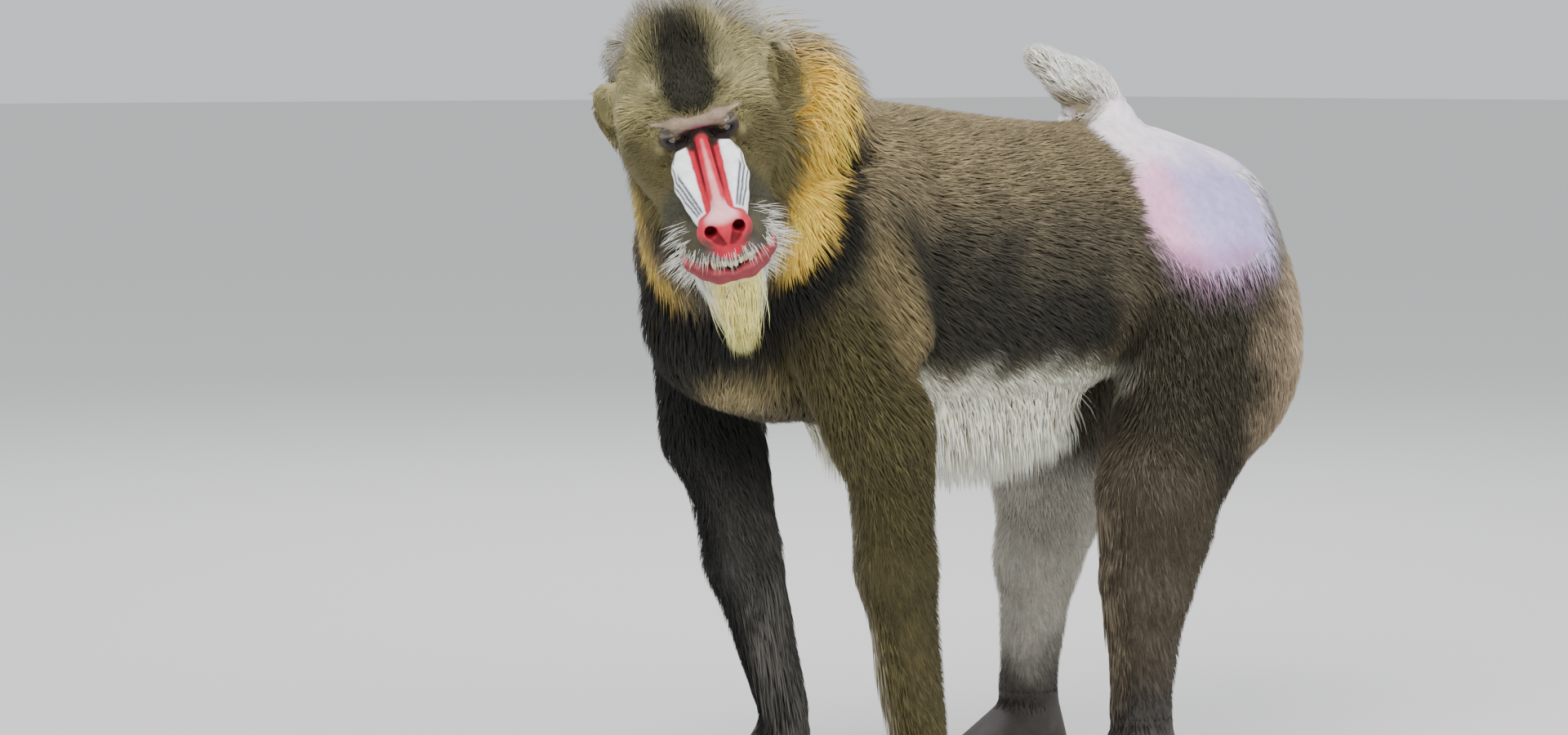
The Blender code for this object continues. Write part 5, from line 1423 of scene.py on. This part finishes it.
def make_eyes():
    material = eye_material()
    for side, s in SIDE.items():
        bm = bmesh.new()
        bmesh.ops.create_uvsphere(bm, u_segments=48, v_segments=32, radius=EYE_RADIUS - 0.0004)
        bmesh.ops.rotate(bm, verts=bm.verts, cent=(0, 0, 0), matrix=Matrix.Rotation(math.pi / 2, 3, "Y"))
        for vert in bm.verts:
            aside = math.hypot(vert.co.y, vert.co.z)
            if vert.co.x > 0 and aside < CORNEA:
                vert.co.x += CORNEA_RISE * (1.0 - (aside / CORNEA) ** 2)
        mesh = bpy.data.meshes.new("eyeball_" + side)
        bm.to_mesh(mesh)
        bm.free()
        mesh.shade_smooth()
        eye = new_object("eyeball_" + side, mesh)
        upward = Matrix.Rotation(math.radians(-EYES_UP), 4, "Y")
        eye.matrix_world = head_matrix(from_head(0.0, EYE_APART * s, 0.0)) @ upward
        mesh.materials.append(material)
        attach(eye, "root")
        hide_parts("eye_" + side)


# Stage
def look_along(location, way, up):
    """A world matrix that looks along way."""
    back = -unit(np.asarray(way, float))
    right = unit(np.cross(np.asarray(up, float), back))
    axes = np.stack([right, np.cross(back, right), back], axis=1)
    return Matrix.Translation(Vector(location)) @ Matrix(axes.tolist()).to_4x4()


def make_stage():
    bm = bmesh.new()
    bmesh.ops.create_grid(bm, x_segments=2, y_segments=2, size=60.0)
    mesh = bpy.data.meshes.new("floor")
    bm.to_mesh(mesh)
    bm.free()
    floor = new_object("floor", mesh)
    material, _, _, shader = new_material("floor", 0.9)
    shader.inputs["Base Color"].default_value = (0.74, 0.74, 0.72, 1.0)
    mesh.materials.append(material)
    world = bpy.data.worlds.new("world")
    bpy.context.scene.world = world
    world.use_nodes = True
    sky = world.node_tree.nodes["Background"]
    sky.inputs["Color"].default_value = (0.80, 0.83, 0.86, 1.0)
    sky.inputs["Strength"].default_value = 0.96
    for name, place, size, energy in (
        ("key", (1.6, -2.4, 2.8), 1.8, 128.0),
        ("fill", (3.2, 0.6, 2.0), 2.2, 62.0),
        ("back", (-2.0, 1.4, 2.6), 1.6, 56.0),
    ):
        light = bpy.data.lights.new(name, "AREA")
        light.energy = energy
        light.size = size
        obj = new_object(name, light)
        way = np.array([0.0, 0.0, 0.4]) - np.array(place)
        obj.matrix_world = look_along(place, way, (0.0, 0.0, 1.0))


CAMERA_PLACE = (2.3228, -1.9363, 0.624)
CAMERA_WAY, CAMERA_UP = (-0.76368, 0.64081, -0.07846), (-0.06010, 0.05043, 0.99692)


def make_camera():
    camera = bpy.data.cameras.new("camera")
    camera.sensor_width = 36.0
    camera.lens = 87.0
    obj = new_object("camera", camera)
    obj.matrix_world = look_along(np.array(CAMERA_PLACE) - ORIGIN, CAMERA_WAY, CAMERA_UP)
    bpy.context.scene.camera = obj


def mottled(name, roughness, size, dark, pale):
    """An even material that varies between two colours over about this size."""
    material, nodes, links, shader = new_material(name, roughness)
    place = add(nodes, "ShaderNodeTexCoord", (-900, 0))
    noise = add(nodes, "ShaderNodeTexNoise", (-700, 0), Scale=1.0 / size, Detail=3.0)
    ramp = nodes.new("ShaderNodeValToRGB")
    for element, colour, at in zip(ramp.color_ramp.elements, (dark, pale), (0.25, 0.60)):
        element.color = (*colour, 1.0)
        element.position = at
    links.new(place.outputs["Object"], noise.inputs["Vector"])
    links.new(noise.outputs["Fac"], ramp.inputs["Fac"])
    links.new(ramp.outputs["Color"], shader.inputs["Base Color"])
    return material


def round_mesh(name, parts):
    """One mesh of many ellipsoids: middle, three radii, and the axes that they lie along."""
    bm = bmesh.new()
    bmesh.ops.create_uvsphere(bm, u_segments=14, v_segments=9, radius=1.0)
    bmesh.ops.triangulate(bm, faces=bm.faces)
    ball_points = np.array([vert.co for vert in bm.verts])
    ball_faces = np.array([[vert.index for vert in face.verts] for face in bm.faces])
    bm.free()
    points, faces = [], []
    for i, (middle, radii, axes) in enumerate(parts):
        points.append(middle + (ball_points * radii) @ np.asarray(axes))
        faces.append(ball_faces + i * len(ball_points))
    mesh = mesh_of(name, np.concatenate(points) - ORIGIN, np.concatenate(faces))
    mesh.shade_smooth()
    return new_object(name, mesh)


def make_teeth():
    """Crowns along the upper gum, canines the longest."""
    front = (0.1130, 0.0, -0.0435), (0.1080, 0.0115, -0.0438)
    row = np.array((*front, (0.0975, 0.0225, -0.0445), (0.0790, 0.0335, -0.0475)))
    shares = (0.05, 0.15, 0.25, 0.36, 0.48, 0.58, 0.68, 0.78)
    heights = (0.0042, 0.0036, 0.0038, 0.0058, 0.0038, 0.0036, 0.0032, 0.0030)
    crowns = []
    for s in SIDE.values():
        for share, height in zip(shares, heights):
            place = np.array([np.interp(share, (0.0, 0.3, 0.6, 1.0), row[:, k]) for k in range(3)])
            place[2] -= height * 0.5
            wide = 0.0021 if height < 0.006 else 0.0024
            crowns.append((from_head(place[0], place[1] * s, place[2]), (0.0017, wide, height), HEAD))
    teeth = round_mesh("teeth_row", crowns)
    teeth.data.materials.append(mottled("teeth", 0.25, 0.0038, (0.20, 0.13, 0.05), (0.70, 0.60, 0.38)))
    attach(teeth, "root")
    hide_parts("teeth")


def make_nails():
    """A flat nail on the end of every finger and toe."""
    nails = []
    for side in SIDE:
        for digits, radius in ((fingers(side), 0.0062), (toes(side), 0.0066)):
            for line in digits:
                way = unit(line[-1] - line[-2])
                across = unit(np.cross((0.0, 0.0, 1.0), way))
                up = np.cross(way, across)
                middle = line[-1] + way * radius * 0.45 + up * radius * 0.62
                axes = unit(way - up * 0.35), across, unit(up + way * 0.35)
                nails.append((middle, (0.0046, 0.0038, 0.0021), axes))
    nails = round_mesh("nails", nails)
    horn = mottled("nails", 0.35, 0.0030, (0.018, 0.016, 0.015), (0.060, 0.052, 0.045))
    nails.data.materials.append(horn)
    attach(nails, "root")


def make_bristles(skin_points, skin_normals, material):
    """White bristles over the upper lip and long thin whiskers beside it."""
    draw = np.random.default_rng(5)
    q, m = head_points(skin_points)
    on_lip = (m[:, 0] > 0.086) & (m[:, 2] < -0.028) & (m[:, 2] > -0.040)
    beside = (m[:, 0] > 0.070) & (m[:, 0] < 0.100) & (m[:, 1] > 0.016)
    beside = beside & (m[:, 2] < -0.024) & (m[:, 2] > -0.044)
    groups = (
        (on_lip, 170, 0.0100, 0.00032, (0.40, 0.30, -0.85)),
        (beside, 110, 0.0150, 0.00036, (0.30, 0.95, -0.20)),
        (whisker_share(m) > 0.5, 220, 0.020, 0.00045, (0.35, 0.80, -0.30)),
    )
    paths, widths, patches = [], [], []
    for where, count, length, width, way in groups:
        at = draw.choice(np.flatnonzero(where), count)
        roots, normals, sides = skin_points[at], skin_normals[at], np.sign(q[at, 1])
        spread = np.abs(q[at, 1]) / 0.02
        aside = way[1] * sides * spread
        ways = np.stack([np.full(count, way[0]), aside, np.full(count, way[2])], axis=1)
        ways = unit(unit(ways) @ HEAD + 0.35 * normals + draw.normal(0.0, 0.14, (count, 3)))
        steps = np.linspace(0.0, 1.0, 4)[None, :, None]
        size = (length * draw.uniform(0.6, 1.2, count))[:, None, None]
        path = (roots - normals * 0.001)[:, None] + ways[:, None] * steps * size
        paths.append(path - (0.0, 0.0, 0.18) * steps**2 * size)
        widths.append(np.full(count, width))
        patches.append(np.stack([0.5 + q[at, 1] * 4.0, 0.5 + q[at, 2] * 4.0], axis=1))
    paths = np.concatenate(paths)
    ways = unit(np.gradient(paths, axis=1))
    across = unit(np.cross(ways, np.array([0.3, -0.8, 0.5])))
    tints = np.tile(WHITE, (len(paths), 1))
    widths, patches = np.concatenate(widths), np.concatenate(patches)
    up = unit(np.cross(across, ways))
    # Painted shade: the bristles are darker at the root
    obj = tuft_mesh("bristles", paths, widths, across, up, (tints * 0.8, tints), patches)
    obj.data.materials.append(material)
    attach(obj, "root")


FLESH = ("head", "neck", "torso", "rump", "tail")
PAIRED = ("ear", "upper_arm", "forearm", "hand", "thigh", "shank", "foot")


def main():
    make_camera()
    make_stage()
    skin = make_skin()
    coat_material = marked("coat", 0.62, 0.012, 0.16, None, 0.0, Specular_IOR_Level=0.35)
    grow_coat(skin, coat_material)
    points = vertex_points(skin.data)
    normals = gradient(skin_field, points)
    paint(skin.data, marks(points, normals))
    skin.data.transform(Matrix.Translation(Vector(-ORIGIN)))
    skin.data.shade_smooth()
    skin.data.materials.clear()
    skin_material = marked("skin", 0.58, 0.008, 0.14, 0.0016, 0.0006, Specular_IOR_Level=0.28)
    skin.data.materials.append(skin_material)
    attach(skin, "root")
    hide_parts(*FLESH, *(name + "_" + side for name in PAIRED for side in SIDE))
    make_eyes()
    make_teeth()
    make_nails()
    make_bristles(points, normals, coat_material)


main()
